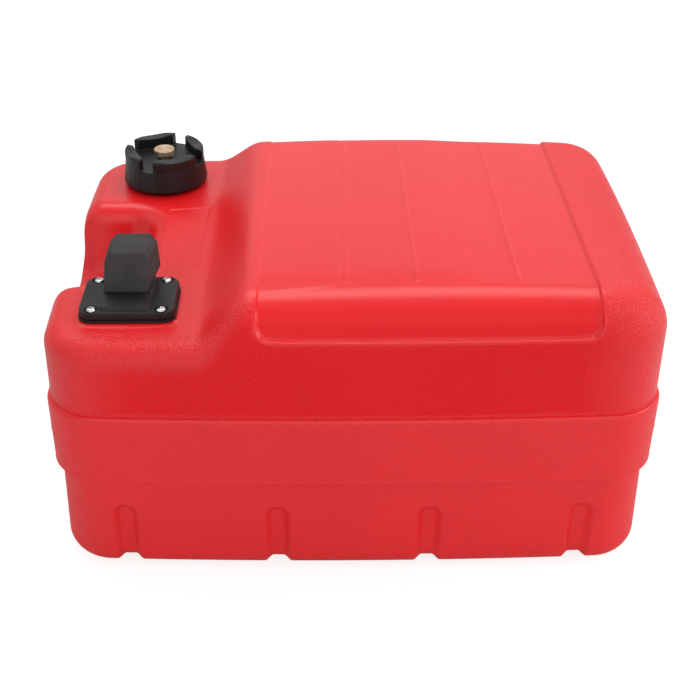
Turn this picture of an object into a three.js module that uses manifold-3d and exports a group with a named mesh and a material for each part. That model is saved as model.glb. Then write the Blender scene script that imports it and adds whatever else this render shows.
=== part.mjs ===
// Portable fuel tank, millimetres, +Z up. The origin is the middle of the underside.
// The filler cap is at the back left and the fuel fitting at the front left.

import * as THREE from 'three';
import { mergeVertices } from 'three/addons/utils/BufferGeometryUtils.js';
import Module from 'manifold-3d';

const wasm = await Module();
wasm.setup();

// Clearances
const seatGap = 0.3;
const cutOver = 1;
const facetTolerance = 0.08;
const cavityTolerance = 0.25;

// Tank body: overall sizes
const tankLength = 445;
const tankDepth = 308;
const topHeight = 228.5;
const topCrown = 2.5;
const crownLimitShare = 2;
const wallThickness = 4.5;
const planCorner = 34;
const frontBow = 5.8;
const endBow = 3;
const bottomRadius = 17;

// Tank body: waist band and drafts
const bandBottom = 85;
const bandTop = 141;
const bandProud = 2.6;
const bandStep = 2.4;
const bandLedge = 4.2;
const lowerInset = 2.2;
const upperDraftShare = 0.016;
const lowerFlareShare = 0.03;

// Tank body: left part. Drops are below the top, insets are in from the tank's ends and long walls.
const deckDrop = 31.5;
const domeDrop = 20.5;
const deckRampMargin = 3;
const domeMargin = 5;
const flankInset = 112.5;
const flankRun = 38;
const topEdgeRadius = 34;
const backEdgeRadius = 26;
const deckEdgeRadius = 13;
const leastEdgeRadius = 5;
const domeInset = 4.5;

// Hand-grip pocket between the deck and the dome
const pocketDepth = 47;
const pocketFrontInset = 99;
const pocketBackInset = 107;
const pocketLength = 66.5;
const pocketCorner = 22;
const pocketRoll = 9;
const pocketFoot = 12;
const pocketDraft = 5;
const pocketFlareFront = 20;
const pocketFlareBack = 8;
const pocketFlareLength = 32.5;

// Recessed top panel and its ribs
const panelMargin = 6.5;
const panelInset = 57;
const panelFall = 25.5;
const panelDepth = 2.2;
const panelCorner = 10;
const ribShares = [0.262, 0.465, 0.768];
const ribWidth = 2.4;
const ribHeight = 0.9;
const ribFrontInset = 41;
const ribBackInset = 31;
const ribRoot = 3;

// Blank plate moulded on the front wall
const labelInset = 68.5;
const labelWidth = 148;
const labelRise = 3.5;
const labelHeight = 37.5;
const labelDepth = 0.6;

// Slots low on the long walls
const slotEndInset = 54.5;
const slotShares = [-1.5, -0.5, 0.5, 1.5];
const slotWidth = 14;
const slotDepth = 4.5;
const slotTop = 58.5;
const slotReach = 42;
const slotWall = 3;

// Filler neck and its thread
const fillerInsetX = 71.5;
const fillerInsetY = 58;
const neckBore = 20;
const neckWall = 4;
const neckRise = 13.5;
const threadPitch = 5;
const threadDepth = 1.5;
const threadRoot = 1.05;
const threadTip = 0.6;
const threadBite = 1;
const threadTurns = 1.25;
const threadRise = 4.6;
const threadClearance = 0.8;

// Filler cap
const capWall = 8.6;
const capTaper = 2.8;
const capClearance = 1.5;
const capRoofThickness = 4;
const earHeight = 9.5;
const earCount = 4;
const earWall = 8;
const earGap = 11.5;
const earScallop = 2;
const scallopShare = 0.62;
const earTurn = THREE.MathUtils.degToRad(68);
const capEdge = 1.2;
const capSealThickness = 1.9;
const capSealMargin = 0.7;

// Vent in the cap
const ventShankRadius = 2.4;
const ventBushWall = 1.9;
const ventBushLipWidth = 2;
const ventBushLipThickness = 1.5;
const ventBushProud = 2.4;
const ventShankLength = 10.8;
const ventHeadRadius = 9;
const ventHeadThickness = 4.6;
const ventHeadEdge = 0.7;
const ventSealThickness = 0.8;

// Flange plate, gasket, screws and inserts
const plateInsetX = 64;
const plateInsetY = 65;
const plateWidth = 66.5;
const plateDepth = 51.5;
const plateThickness = 5.6;
const plateCorner = 8.5;
const plateEdge = 1.1;
const seatRise = 0.8;
const seatMargin = 4;
const gasketThickness = 1.9;
const gasketProud = 0.9;
const screwEdgeX = 9.05;
const screwEdgeY = 5.25;
const screwHeadRadius = 3.5;
const screwHeadThickness = 2.2;
const screwHeadShares = [[1, 0], [1, 0.4], [0.86, 0.8], [0.5, 1]];
const screwShankRadius = 1.9;
const screwLength = 13;
const screwSink = 1.4;
const recessMargin = 1.4;
const crossLength = 3.9;
const crossWidth = 1;
const crossDepth = 1.3;
const insertRadius = 3.1;
const insertLength = 7;
const bossWall = 2.6;
const bossFloor = 1.6;

// Raised pad of the plate and the boss below it
const padWidth = 35;
const padRise = 2.4;
const padFrontMargin = 3;
const padCorner = 1.5;
const padTaper = 0.7;
const stemBossRadius = 9;
const stemBossLength = 15;
const deckHoleMargin = 1.5;
const jointShiftX = 1;
const jointShiftY = 13;

// Fuel joint, pins and check valve
const blockWidth = 24;
const blockDepth = 22;
const blockHeight = 5;
const blockCorner = 3;
const chamberRadius = 3.2;
const spigotWall = 1.2;
const spigotHeight = 13;
const spigotEdge = 1.2;
const stemWall = 2;
const stemLength = 6.5;
const orificeMargin = 0.5;
const orificeLength = 2;
const outletRadius = 1.4;
const outletLength = 1.2;
const pinRadius = 1.9;
const pinHeight = 9;
const pinSink = 4;
const pinSpan = 15;
const poppetPinRadius = 1.4;
const poppetHeadThickness = 1.6;
const poppetProud = 1.2;
const poppetTravel = 2;
const poppetSealThickness = 0.8;
const springWire = 0.35;
const springTurns = 5;

// Dust cover
const coverShift = 2.1;
const coverFrontWidth = 32.6;
const coverBackWidth = 37.4;
const coverDepth = 31.8;
const coverHeight = 29.6;
const coverShoulder = 5.6;
const coverShoulderInset = 2.6;
const coverWall = 2.2;
const coverCorner = 2.6;
const coverEdge = 0.9;

// Pick-up tube and strainer
const tubeBore = 2.8;
const tubeWall = 1.2;
const tubeGrip = 8;
const tubeSetback = 4;
const strainerRadius = 8;
const strainerHeight = 16;
const strainerWall = 1.4;
const strainerLift = 4.5;
const windowCount = 6;
const windowWidth = 3.4;
const windowHeight = 8;

// Curve steps
const roundSides = 32;
const middleSides = 24;
const smallSides = 16;
const springSides = 5;
const springSteps = 12;
const cornerSteps = 4;
const threadSteps = 24;
const pocketSteps = 6;
const pocketFootSteps = 3;
const gridStepsX = [3, 6, 1, 6];
const gridStepsY = [2, 5, 2];

// Sizes and places that follow from the ones above
const halfLength = tankLength / 2 - bandProud - endBow;
const halfDepth = tankDepth / 2 - bandProud - frontBow;
const deckHeight = topHeight - deckDrop;
const domeHeight = topHeight - domeDrop;
const flankFoot = flankInset - tankLength / 2;
const flankTop = flankFoot + flankRun;
const pocketFloor = deckHeight - pocketDepth;
const pocketFront = pocketFrontInset - tankDepth / 2;
const pocketBack = tankDepth / 2 - pocketBackInset;
const pocketEnd = pocketLength - tankLength / 2;
const pocketFlareStart = pocketFlareLength - tankLength / 2;
const deckRampStart = pocketFront + deckRampMargin;
const domeFront = pocketBack + domeMargin;
const panelLeft = flankTop + panelMargin;
const panelRight = tankLength / 2 - panelInset;
const panelLower = topHeight - panelFall;
const ribFront = ribFrontInset - tankDepth / 2;
const ribBack = tankDepth / 2 - ribBackInset;
const labelLeft = labelInset - tankLength / 2;
const labelRight = labelLeft + labelWidth;
const labelLower = bandTop + labelRise;
const labelUpper = labelLower + labelHeight;
const slotPitch = (tankLength - 2 * slotEndInset) / (slotShares.length - 1);
const fillerX = fillerInsetX - tankLength / 2;
const fillerY = tankDepth / 2 - fillerInsetY;
const neckRadius = neckBore + neckWall;
const neckTop = domeHeight + neckRise;
const neckThreadStart = domeHeight + threadRise;
const capBore = neckRadius + threadDepth + threadClearance;
const capFootRadius = capBore + capWall;
const capTopRadius = capFootRadius - capTaper;
const capFoot = domeHeight + capClearance;
const capRoof = neckTop + seatGap + capSealThickness + seatGap + capRoofThickness;
const capRim = capRoof + earHeight;
const ventBushRadius = ventShankRadius + seatGap + ventBushWall;
const ventBushLip = ventBushRadius + ventBushLipWidth;
const plateX = plateInsetX - tankLength / 2;
const plateY = plateInsetY - tankDepth / 2;
const jointX = plateX - jointShiftX;
const jointY = plateY + jointShiftY;
const recessRadius = screwHeadRadius + recessMargin;
const deckHoleRadius = stemBossRadius + deckHoleMargin;
const spigotRadius = chamberRadius + spigotWall;
const stemRadius = chamberRadius + stemWall;
const orificeRadius = poppetPinRadius + orificeMargin;
const coverY = jointY + coverShift;
const tubeRadius = tubeBore + tubeWall;
const strainerFloor = wallThickness + strainerLift;
const tubeFoot = strainerFloor + tubeSetback;
const seatTop = deckHeight + seatRise;
const plateFoot = seatTop + seatGap + gasketThickness + seatGap;
const plateTop = plateFoot + plateThickness;
const padTop = plateTop + padRise;
const blockFoot = padTop + seatGap;
const spigotTop = blockFoot + blockHeight + spigotHeight;
const above = topHeight + topCrown + tankDepth;

// Helpers for solids

function toSolid(geometry) {
  const bare = geometry.clone();
  bare.deleteAttribute('normal');
  bare.deleteAttribute('uv');
  const merged = mergeVertices(bare);
  const corners = [];
  for (let i = 0; i < merged.index.count; i += 3) {
    const [a, b, c] = [0, 1, 2].map((k) => merged.index.getX(i + k));
    if (a !== b && b !== c && c !== a) corners.push(a, b, c);
  }
  const vertProperties = Float32Array.from(merged.attributes.position.array);
  const triVerts = Uint32Array.from(corners);
  return new wasm.Manifold(new wasm.Mesh({ numProp: 3, vertProperties, triVerts }));
}

function toGeometry(solid) {
  const mesh = solid.getMesh();
  const geometry = new THREE.BufferGeometry();
  geometry.setAttribute('position', new THREE.BufferAttribute(mesh.vertProperties, mesh.numProp));
  geometry.setIndex(new THREE.BufferAttribute(mesh.triVerts, 1));
  geometry.computeVertexNormals();
  return geometry;
}

function box(low, high) {
  const size = high.map((value, k) => value - low[k]);
  const geometry = new THREE.BoxGeometry(...size);
  geometry.translate(...high.map((value, k) => (value + low[k]) / 2));
  return toSolid(geometry);
}

// A turned piece: the profile is a list of [radius, height] and the axis stands at x, y.
function turned(profile, x = 0, y = 0, sides = roundSides) {
  const points = profile.map(([radius, height]) => new THREE.Vector2(radius, height));
  const geometry = new THREE.LatheGeometry(points, sides);
  geometry.rotateX(Math.PI / 2);
  geometry.translate(x, y, 0);
  return toSolid(geometry);
}

function rod(radius, low, high, x = 0, y = 0, sides = roundSides) {
  return turned([[0, low], [radius, low], [radius, high], [0, high]], x, y, sides);
}

function tube(outer, inner, low, high, x = 0, y = 0, sides = roundSides) {
  return turned([[inner, low], [outer, low], [outer, high], [inner, high], [inner, low]], x, y, sides);
}

function roundedShape(width, height, corner) {
  const [x, y] = [width / 2, height / 2];
  const shape = new THREE.Shape();
  shape.moveTo(corner - x, -y);
  shape.lineTo(x - corner, -y);
  shape.absarc(x - corner, corner - y, corner, -Math.PI / 2, 0);
  shape.lineTo(x, y - corner);
  shape.absarc(x - corner, y - corner, corner, 0, Math.PI / 2);
  shape.lineTo(corner - x, y);
  shape.absarc(corner - x, y - corner, corner, Math.PI / 2, Math.PI);
  shape.lineTo(-x, corner - y);
  shape.absarc(corner - x, corner - y, corner, Math.PI, Math.PI * 1.5);
  return shape;
}

function slab(width, depth, corner, low, high, x, y) {
  const settings = { depth: high - low, bevelEnabled: false, curveSegments: cornerSteps };
  const geometry = new THREE.ExtrudeGeometry(roundedShape(width, depth, corner), settings);
  geometry.translate(x, y, low);
  return toSolid(geometry);
}

// A rounded outline in the XZ plane, pushed through the whole depth of the tank or a part of it.
function wallPrism(width, height, corner, x, z, front, back) {
  const settings = { depth: back - front, bevelEnabled: false, curveSegments: cornerSteps };
  const geometry = new THREE.ExtrudeGeometry(roundedShape(width, height, corner), settings);
  geometry.rotateX(Math.PI / 2);
  geometry.translate(x, back, z);
  return toSolid(geometry);
}

// Stacked rounded outlines joined into one solid; each ring is [width, depth, corner, height, widening].
// The widening is how much wider the back of the ring is than its front; its width is the middle one.
function loft(rings, x, y) {
  const positions = [];
  const corners = [];
  const perRing = 4 * (cornerSteps + 1);
  for (const [width, depth, corner, height, widening = 0] of rings) {
    for (let quarter = 0; quarter < 4; quarter += 1) {
      const [sx, sy] = [[1, 1], [-1, 1], [-1, -1], [1, -1]][quarter];
      for (let step = 0; step <= cornerSteps; step += 1) {
        const angle = (quarter + step / cornerSteps) * Math.PI / 2;
        const px = sx * (width / 2 - corner) + corner * Math.cos(angle);
        const py = sy * (depth / 2 - corner) + corner * Math.sin(angle);
        positions.push(x + px + sx * (widening / 2) * (py / depth), y + py, height);
      }
    }
  }
  const last = (rings.length - 1) * perRing;
  for (let ring = 0; ring < last; ring += perRing) {
    for (let i = 0; i < perRing; i += 1) {
      const [a, b] = [ring + i, ring + (i + 1) % perRing];
      corners.push(a, b, b + perRing, a, b + perRing, a + perRing);
    }
  }
  for (let i = 1; i < perRing - 1; i += 1) {
    corners.push(0, i + 1, i, last, last + i, last + i + 1);
  }
  const geometry = new THREE.BufferGeometry();
  geometry.setAttribute('position', new THREE.Float32BufferAttribute(positions, 3));
  geometry.setIndex(corners);
  return toSolid(geometry);
}

// A closed tube whose section follows rings of points; used for the threads and the spring.
function sweptRings(rings) {
  const perRing = rings[0].length;
  const positions = rings.flat(2);
  const corners = [];
  const last = (rings.length - 1) * perRing;
  for (let ring = 0; ring < last; ring += perRing) {
    for (let i = 0; i < perRing; i += 1) {
      const [a, b] = [ring + i, ring + (i + 1) % perRing];
      corners.push(a, b, b + perRing, a, b + perRing, a + perRing);
    }
  }
  for (let i = 1; i < perRing - 1; i += 1) {
    corners.push(0, i + 1, i, last, last + i, last + i + 1);
  }
  const geometry = new THREE.BufferGeometry();
  geometry.setAttribute('position', new THREE.Float32BufferAttribute(positions, 3));
  geometry.setIndex(corners);
  return toSolid(geometry);
}

// A right-hand thread ridge around the filler axis, from its root radius to its tip radius.
function threadRidge(rootRadius, tipRadius, start, turns) {
  const section = [
    [rootRadius, threadRoot],
    [tipRadius, threadTip],
    [tipRadius, -threadTip],
    [rootRadius, -threadRoot],
  ];
  if (tipRadius < rootRadius) section.reverse();
  const rings = [];
  const count = Math.round(threadSteps * turns);
  for (let i = 0; i <= count; i += 1) {
    const angle = (i / count) * turns * 2 * Math.PI;
    const height = start + (i / count) * turns * threadPitch;
    rings.push(section.map(([radius, rise]) => [
      fillerX + radius * Math.cos(angle),
      fillerY + radius * Math.sin(angle),
      height + rise,
    ]));
  }
  return sweptRings(rings);
}

// The tank's outer form

function smooth(from, to, value) {
  const t = THREE.MathUtils.clamp((value - from) / (to - from), 0, 1);
  return t * t * (3 - 2 * t);
}

function mix(a, b, share) {
  return a + (b - a) * share;
}

// Signed distance to a rounded rectangle, negative inside.
function roundedDistance(x, y, halfX, halfY, corner) {
  const qx = Math.abs(x) - halfX + corner;
  const qy = Math.abs(y) - halfY + corner;
  return Math.hypot(Math.max(qx, 0), Math.max(qy, 0)) + Math.min(Math.max(qx, qy), 0) - corner;
}

// Plan outline: u and v run from -1 to 1, spread is how far the outline is pushed outwards.
function planPoint(u, v, spread) {
  const [a, b, corner] = [halfLength + spread, halfDepth + spread, planCorner + spread];
  const [startX, startY] = [a - corner, b - corner];
  let x = Math.abs(u * a);
  let y = Math.abs(v * b);
  const p = Math.max((x - startX) / corner, 0);
  const q = Math.max((y - startY) / corner, 0);
  if (p > 0 && q > 0) {
    x = startX + corner * p * Math.sqrt(1 - q * q / 2);
    y = startY + corner * q * Math.sqrt(1 - p * p / 2);
  }
  const edge = -roundedDistance(x, y, a, b, corner);
  const bowedX = x * (1 + (endBow / a) * (1 - (y / b) ** 2));
  const bowedY = y * (1 + (frontBow / b) * (1 - (x / a) ** 2));
  return { x: Math.sign(u) * bowedX, y: Math.sign(v) * bowedY, edge: Math.max(edge, 0) };
}

// Height of the left part, which climbs from the deck to the dome.
function leftSurface(y) {
  return mix(deckHeight, domeHeight, smooth(deckRampStart, domeFront, y));
}

// Height of the top surface before its outer edge is rounded over.
function topSurface(x, y) {
  const middle = (panelLeft + panelRight) / 2;
  const crownReach = (panelRight - panelLeft) / 2;
  const raised = topHeight + topCrown * (1 - Math.min(((x - middle) / crownReach) ** 2, crownLimitShare));
  return mix(leftSurface(y), raised, smooth(flankFoot, flankTop, x));
}

// Radius of the rounded edge at a height; the top's edge is rounder at the front than at the back.
function edgeRadius(height, y) {
  const largest = mix(topEdgeRadius, backEdgeRadius, smooth(-halfDepth, halfDepth, y));
  const slope = (largest - deckEdgeRadius) / (topHeight - deckHeight);
  return Math.max(deckEdgeRadius + slope * (height - deckHeight), leastEdgeRadius);
}

// How far a point that lies in from the outline has come down, or up, along a rounded edge.
function edgeDrop(edge, radius) {
  const short = Math.max(radius - edge, 0);
  return radius - Math.sqrt(Math.max(radius * radius - short * short, 0));
}

// Outward push of the wall at a height: draft above, the proud waist band, and the inset below.
function wallSpread(z, banded) {
  const upper = -upperDraftShare * Math.max(z - bandTop, 0);
  const lower = lowerFlareShare * Math.max(bandBottom - z, 0) - lowerInset;
  const band = banded ? bandProud : 0;
  const belowTop = mix(lower, band, smooth(bandBottom - bandStep / 2, bandBottom + bandStep / 2, z));
  return mix(belowTop, upper, smooth(bandTop - bandLedge, bandTop, z));
}

// The end wall stands in a little beside the filler dome.
function domeShift(x, y, z) {
  const nearEnd = smooth(pocketEnd, -halfLength, x);
  const nearDome = smooth(pocketFront, domeFront, y);
  return domeInset * nearEnd * nearDome * smooth(bandTop, bandTop + planCorner, z);
}

function place(u, v, spread, z) {
  const { x, y } = planPoint(u, v, spread);
  return [x + domeShift(x, y, z), y, z];
}

function wallTop(u, v) {
  const { x, y } = planPoint(u, v, 0);
  const height = topSurface(x, y);
  return height - edgeRadius(height, y);
}

function topPoint(u, v, banded) {
  const { x, y } = planPoint(u, v, 0);
  const height = topSurface(x, y);
  const radius = edgeRadius(height, y);
  const spread = wallSpread(height - radius, banded);
  const { edge } = planPoint(u, v, spread);
  return place(u, v, spread, height - edgeDrop(edge, radius));
}

function bottomPoint(u, v, banded) {
  const spread = wallSpread(bottomRadius, banded);
  const { edge } = planPoint(u, v, spread);
  return place(u, v, spread, edgeDrop(edge, bottomRadius));
}

// Height stations of the wall; the last one is the foot of the rounded top edge.
function wallPoint(u, v, station, banded) {
  const stations = [
    bottomRadius,
    bandBottom - bandStep / 2,
    bandBottom + bandStep / 2,
    bandTop - bandLedge,
    bandTop,
    wallTop(u, v),
  ];
  return place(u, v, wallSpread(stations[station], banded), stations[station]);
}

// Places between two sizes, with counts of equal steps.
function spaced(limits, counts) {
  const places = [limits[0]];
  counts.forEach((count, k) => {
    for (let i = 1; i <= count; i += 1) places.push(mix(limits[k], limits[k + 1], i / count));
  });
  return places;
}

const edgeShares = [0, 0.07, 0.2, 0.38, 0.62, 1];

function planStations(inner, half) {
  const low = edgeShares.map((share) => share * planCorner - half);
  const high = edgeShares.map((share) => half - share * planCorner).reverse();
  return [...low, ...inner, ...high].map((value) => value / half);
}

function gridGeometry(banded) {
  const innerX = spaced([planCorner - halfLength, flankFoot, flankTop, panelLeft,
    halfLength - planCorner], gridStepsX).slice(1, -1);
  const innerY = spaced([planCorner - halfDepth, deckRampStart, domeFront,
    halfDepth - planCorner], gridStepsY).slice(1, -1);
  const us = planStations(innerX, halfLength);
  const vs = planStations(innerY, halfDepth);
  const positions = [];
  const quads = (rows) => {
    for (let i = 0; i + 1 < rows.length; i += 1) {
      for (let j = 0; j + 1 < rows[i].length; j += 1) {
        const [a, b, c, d] = [rows[i][j], rows[i + 1][j], rows[i + 1][j + 1], rows[i][j + 1]];
        positions.push(...a, ...b, ...c, ...a, ...c, ...d);
      }
    }
  };
  quads(us.map((u) => vs.map((v) => topPoint(u, v, banded))));
  quads(us.map((u) => [...vs].reverse().map((v) => bottomPoint(u, v, banded))));
  const wallStations = [0, 1, 2, 3, 4, 5];
  quads(us.map((u) => wallStations.map((k) => wallPoint(u, -1, k, banded))));
  quads([...us].reverse().map((u) => wallStations.map((k) => wallPoint(u, 1, k, banded))));
  quads([...vs].reverse().map((v) => wallStations.map((k) => wallPoint(-1, v, k, banded))));
  quads(vs.map((v) => wallStations.map((k) => wallPoint(1, v, k, banded))));
  const geometry = new THREE.BufferGeometry();
  geometry.setAttribute('position', new THREE.Float32BufferAttribute(positions, 3));
  return mergeVertices(geometry);
}

// The tank's form, drawn in by an even distance along its own surface directions.
function body(inset, banded = true) {
  const geometry = gridGeometry(banded);
  if (inset > 0) {
    geometry.computeVertexNormals();
    const { position, normal } = geometry.attributes;
    for (let i = 0; i < position.count; i += 1) {
      position.setXYZ(i,
        position.getX(i) - inset * normal.getX(i),
        position.getY(i) - inset * normal.getY(i),
        position.getZ(i) - inset * normal.getZ(i));
    }
  }
  return toSolid(geometry);
}

// Plan outline of the hand-grip pocket, anticlockwise, from outside the end wall and back again.
function pocketOutline() {
  const outside = -tankLength / 2 - cutOver;
  const middle = (pocketFront + pocketBack) / 2;
  const points = [];
  const sides = [[pocketFront, -1, pocketFlareFront], [pocketBack, 1, pocketFlareBack]];
  for (const [wall, side, flare] of sides) {
    const run = [];
    for (let i = 0; i <= pocketSteps; i += 1) {
      const x = mix(outside, pocketFlareStart, i / pocketSteps);
      run.push([x, wall + side * flare * smooth(pocketFlareStart, outside, x)]);
    }
    for (let i = 0; i <= pocketSteps; i += 1) {
      const angle = (i / pocketSteps) * Math.PI / 2;
      const x = pocketEnd - pocketCorner + pocketCorner * Math.sin(angle);
      run.push([x, wall - side * pocketCorner * (1 - Math.cos(angle))]);
    }
    points.push(...(side < 0 ? run : run.reverse()));
  }
  points.push([outside - tankLength / 2, middle]);
  return points;
}

// The space of the pocket: drafted walls, a filleted floor and a rolled top edge. It grows by a margin.
function pocketSpace(margin) {
  const outline = pocketOutline();
  const count = outline.length;
  const outward = outline.map((point, i) => {
    const [before, after] = [outline[(i + count - 1) % count], outline[(i + 1) % count]];
    const [dx, dy] = [after[0] - before[0], after[1] - before[1]];
    const length = Math.hypot(dx, dy);
    return [dy / length, -dx / length];
  });
  const quarter = (steps) => Array.from({ length: steps + 1 }, (_, k) => (k / steps) * Math.PI / 2);
  const foot = quarter(pocketFootSteps).map((angle) => ({
    push: margin - pocketDraft - pocketFoot * (1 - Math.sin(angle)),
    height: () => pocketFloor - margin + pocketFoot * (1 - Math.cos(angle)),
  }));
  const lip = quarter(pocketFootSteps).map((angle) => ({
    push: margin + pocketRoll * (1 - Math.cos(angle)),
    height: (y) => leftSurface(y) - pocketRoll * (1 - Math.sin(angle)),
  }));
  const top = { push: margin + pocketRoll, height: () => above };
  const rings = [...foot, ...lip, top].map(({ push, height }) => outline.map(([x, y], i) => {
    const [px, py] = [x + push * outward[i][0], y + push * outward[i][1]];
    return [px, py, height(py)];
  }));
  return sweptRings(rings);
}

// Prisms of the slots, grown by a margin; they reach in from the front and back walls.
function slotPrisms(margin) {
  const width = slotWidth + 2 * margin;
  const low = -cutOver - width;
  const high = slotTop + margin;
  const prisms = [];
  for (const share of slotShares) {
    for (const side of [-1, 1]) {
      const wall = side * (tankDepth / 2 + cutOver);
      const reach = side * (tankDepth / 2 - slotReach - margin);
      prisms.push(wallPrism(width, high - low, width / 2, share * slotPitch, (high + low) / 2,
        Math.min(wall, reach), Math.max(wall, reach)));
    }
  }
  return wasm.Manifold.union(prisms);
}

function fastenerPlaces() {
  return [[-1, -1], [1, -1], [1, 1], [-1, 1]].map(([sx, sy]) => [
    plateX + sx * (plateWidth / 2 - screwEdgeX),
    plateY + sy * (plateDepth / 2 - screwEdgeY),
  ]);
}

function tankShell() {
  const reach = tankDepth / 2 + cutOver;
  const panel = wallPrism(panelRight - panelLeft, above - panelLower, panelCorner,
    (panelLeft + panelRight) / 2, (above + panelLower) / 2, -reach, reach);
  const label = box([labelLeft, -reach, labelLower], [labelRight, 0, labelUpper]);
  let shell = body(0)
    .subtract(pocketSpace(0))
    .subtract(slotPrisms(0).subtract(body(slotDepth)))
    .subtract(label.subtract(body(labelDepth)))
    .subtract(panel.subtract(body(panelDepth)));
  const ribZone = ribShares.map((share) => {
    const x = mix(panelLeft, panelRight, share);
    return box([x - ribWidth / 2, ribFront, topHeight - topCrown - ribRoot], [x + ribWidth / 2, ribBack, above]);
  });
  const ribs = wasm.Manifold.union(ribZone).intersect(body(panelDepth - ribHeight));
  const seat = slab(plateWidth + 2 * seatMargin, plateDepth + 2 * seatMargin, plateCorner + seatMargin,
    deckHeight - wallThickness / 2, seatTop, plateX, plateY);
  const neck = rod(neckRadius, domeHeight - wallThickness / 2, neckTop, fillerX, fillerY);
  const ridge = threadRidge(neckRadius - threadBite, neckRadius + threadDepth, neckThreadStart, threadTurns);
  shell = shell.add(ribs).add(seat).add(neck).add(ridge);
  const cavity = body(wallThickness, false)
    .subtract(pocketSpace(wallThickness))
    .subtract(slotPrisms(slotWall).subtract(body(slotDepth + slotWall)))
    .simplify(cavityTolerance);
  shell = shell.subtract(cavity);
  const bossFoot = seatTop - insertLength - seatGap - bossFloor;
  for (const [x, y] of fastenerPlaces()) {
    shell = shell.add(rod(insertRadius + seatGap + bossWall, bossFoot, seatTop - seatRise, x, y, smallSides));
    shell = shell.subtract(rod(insertRadius + seatGap, seatTop - insertLength - seatGap, above, x, y, smallSides));
  }
  return shell
    .subtract(rod(neckBore, domeHeight - 3 * wallThickness, above, fillerX, fillerY))
    .subtract(rod(deckHoleRadius, deckHeight - 3 * wallThickness, above, jointX, jointY))
    .simplify(facetTolerance);
}

// Filler cap group

function fillerCap() {
  const skirt = turned([
    [0, capRoof - capRoofThickness],
    [capBore, capRoof - capRoofThickness],
    [capBore, capFoot],
    [capFootRadius - capEdge, capFoot],
    [capFootRadius, capFoot + capEdge],
    [capTopRadius, capRoof],
    [0, capRoof],
  ], fillerX, fillerY);
  const ring = turned([
    [capTopRadius - earWall, capRoof - cutOver],
    [capTopRadius, capRoof - cutOver],
    [capTopRadius, capRim - capEdge],
    [capTopRadius - capEdge, capRim],
    [capTopRadius - earWall + capEdge, capRim],
    [capTopRadius - earWall, capRim - capEdge],
    [capTopRadius - earWall, capRoof - cutOver],
  ], fillerX, fillerY);
  const gaps = [];
  for (let i = 0; i < earCount; i += 1) {
    const gap = new THREE.BoxGeometry(capFootRadius, earGap, capRim);
    gap.translate(capFootRadius / 2 + ventHeadRadius, 0, capRoof + capRim / 2);
    gap.rotateZ(earTurn + i * 2 * Math.PI / earCount);
    gap.translate(fillerX, fillerY, 0);
    gaps.push(toSolid(gap));
    const half = capTopRadius * Math.sin(Math.PI / earCount) * scallopShare;
    const bend = (half * half + earScallop * earScallop) / (2 * earScallop);
    const scallop = new THREE.CylinderGeometry(bend, bend, capFootRadius, roundSides);
    scallop.rotateZ(Math.PI / 2);
    scallop.translate(capFootRadius / 2 + ventHeadRadius, 0, capRim - earScallop + bend);
    scallop.rotateZ(earTurn + (i + 0.5) * 2 * Math.PI / earCount);
    scallop.translate(fillerX, fillerY, 0);
    gaps.push(toSolid(scallop));
  }
  const ears = ring.subtract(wasm.Manifold.union(gaps));
  const ridge = threadRidge(capBore + threadBite, capBore - threadDepth - seatGap,
    neckThreadStart - threadPitch / 2, threadTurns)
    .intersect(rod(capFootRadius, capFoot, capRoof - capRoofThickness / 2, fillerX, fillerY));
  const bushHole = rod(ventBushRadius + seatGap, capFoot, capRim, fillerX, fillerY, smallSides);
  return skirt.add(ears).add(ridge).subtract(bushHole);
}

function capSeal() {
  const low = neckTop + seatGap;
  return tube(capBore - capSealMargin, neckBore, low, low + capSealThickness, fillerX, fillerY);
}

function ventBush() {
  const lipTop = capRoof - capRoofThickness - seatGap;
  return turned([
    [ventShankRadius + seatGap, lipTop - ventBushLipThickness],
    [ventBushLip, lipTop - ventBushLipThickness],
    [ventBushLip, lipTop],
    [ventBushRadius, lipTop],
    [ventBushRadius, capRoof + ventBushProud],
    [ventShankRadius + seatGap, capRoof + ventBushProud],
    [ventShankRadius + seatGap, lipTop - ventBushLipThickness],
  ], fillerX, fillerY, smallSides);
}

function ventSeal() {
  const low = capRoof + ventBushProud + seatGap;
  return tube(ventBushRadius, ventShankRadius + seatGap, low, low + ventSealThickness,
    fillerX, fillerY, smallSides);
}

function ventScrew() {
  const headFoot = capRoof + ventBushProud + ventSealThickness + 2 * seatGap;
  const headTop = headFoot + ventHeadThickness;
  return turned([
    [0, headFoot - ventShankLength],
    [ventShankRadius, headFoot - ventShankLength],
    [ventShankRadius, headFoot],
    [ventHeadRadius - ventHeadEdge, headFoot],
    [ventHeadRadius, headFoot + ventHeadEdge],
    [ventHeadRadius, headTop - ventHeadEdge],
    [ventHeadRadius - ventHeadEdge, headTop],
    [0, headTop],
  ], fillerX, fillerY, middleSides);
}

// Fuel fitting

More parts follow.
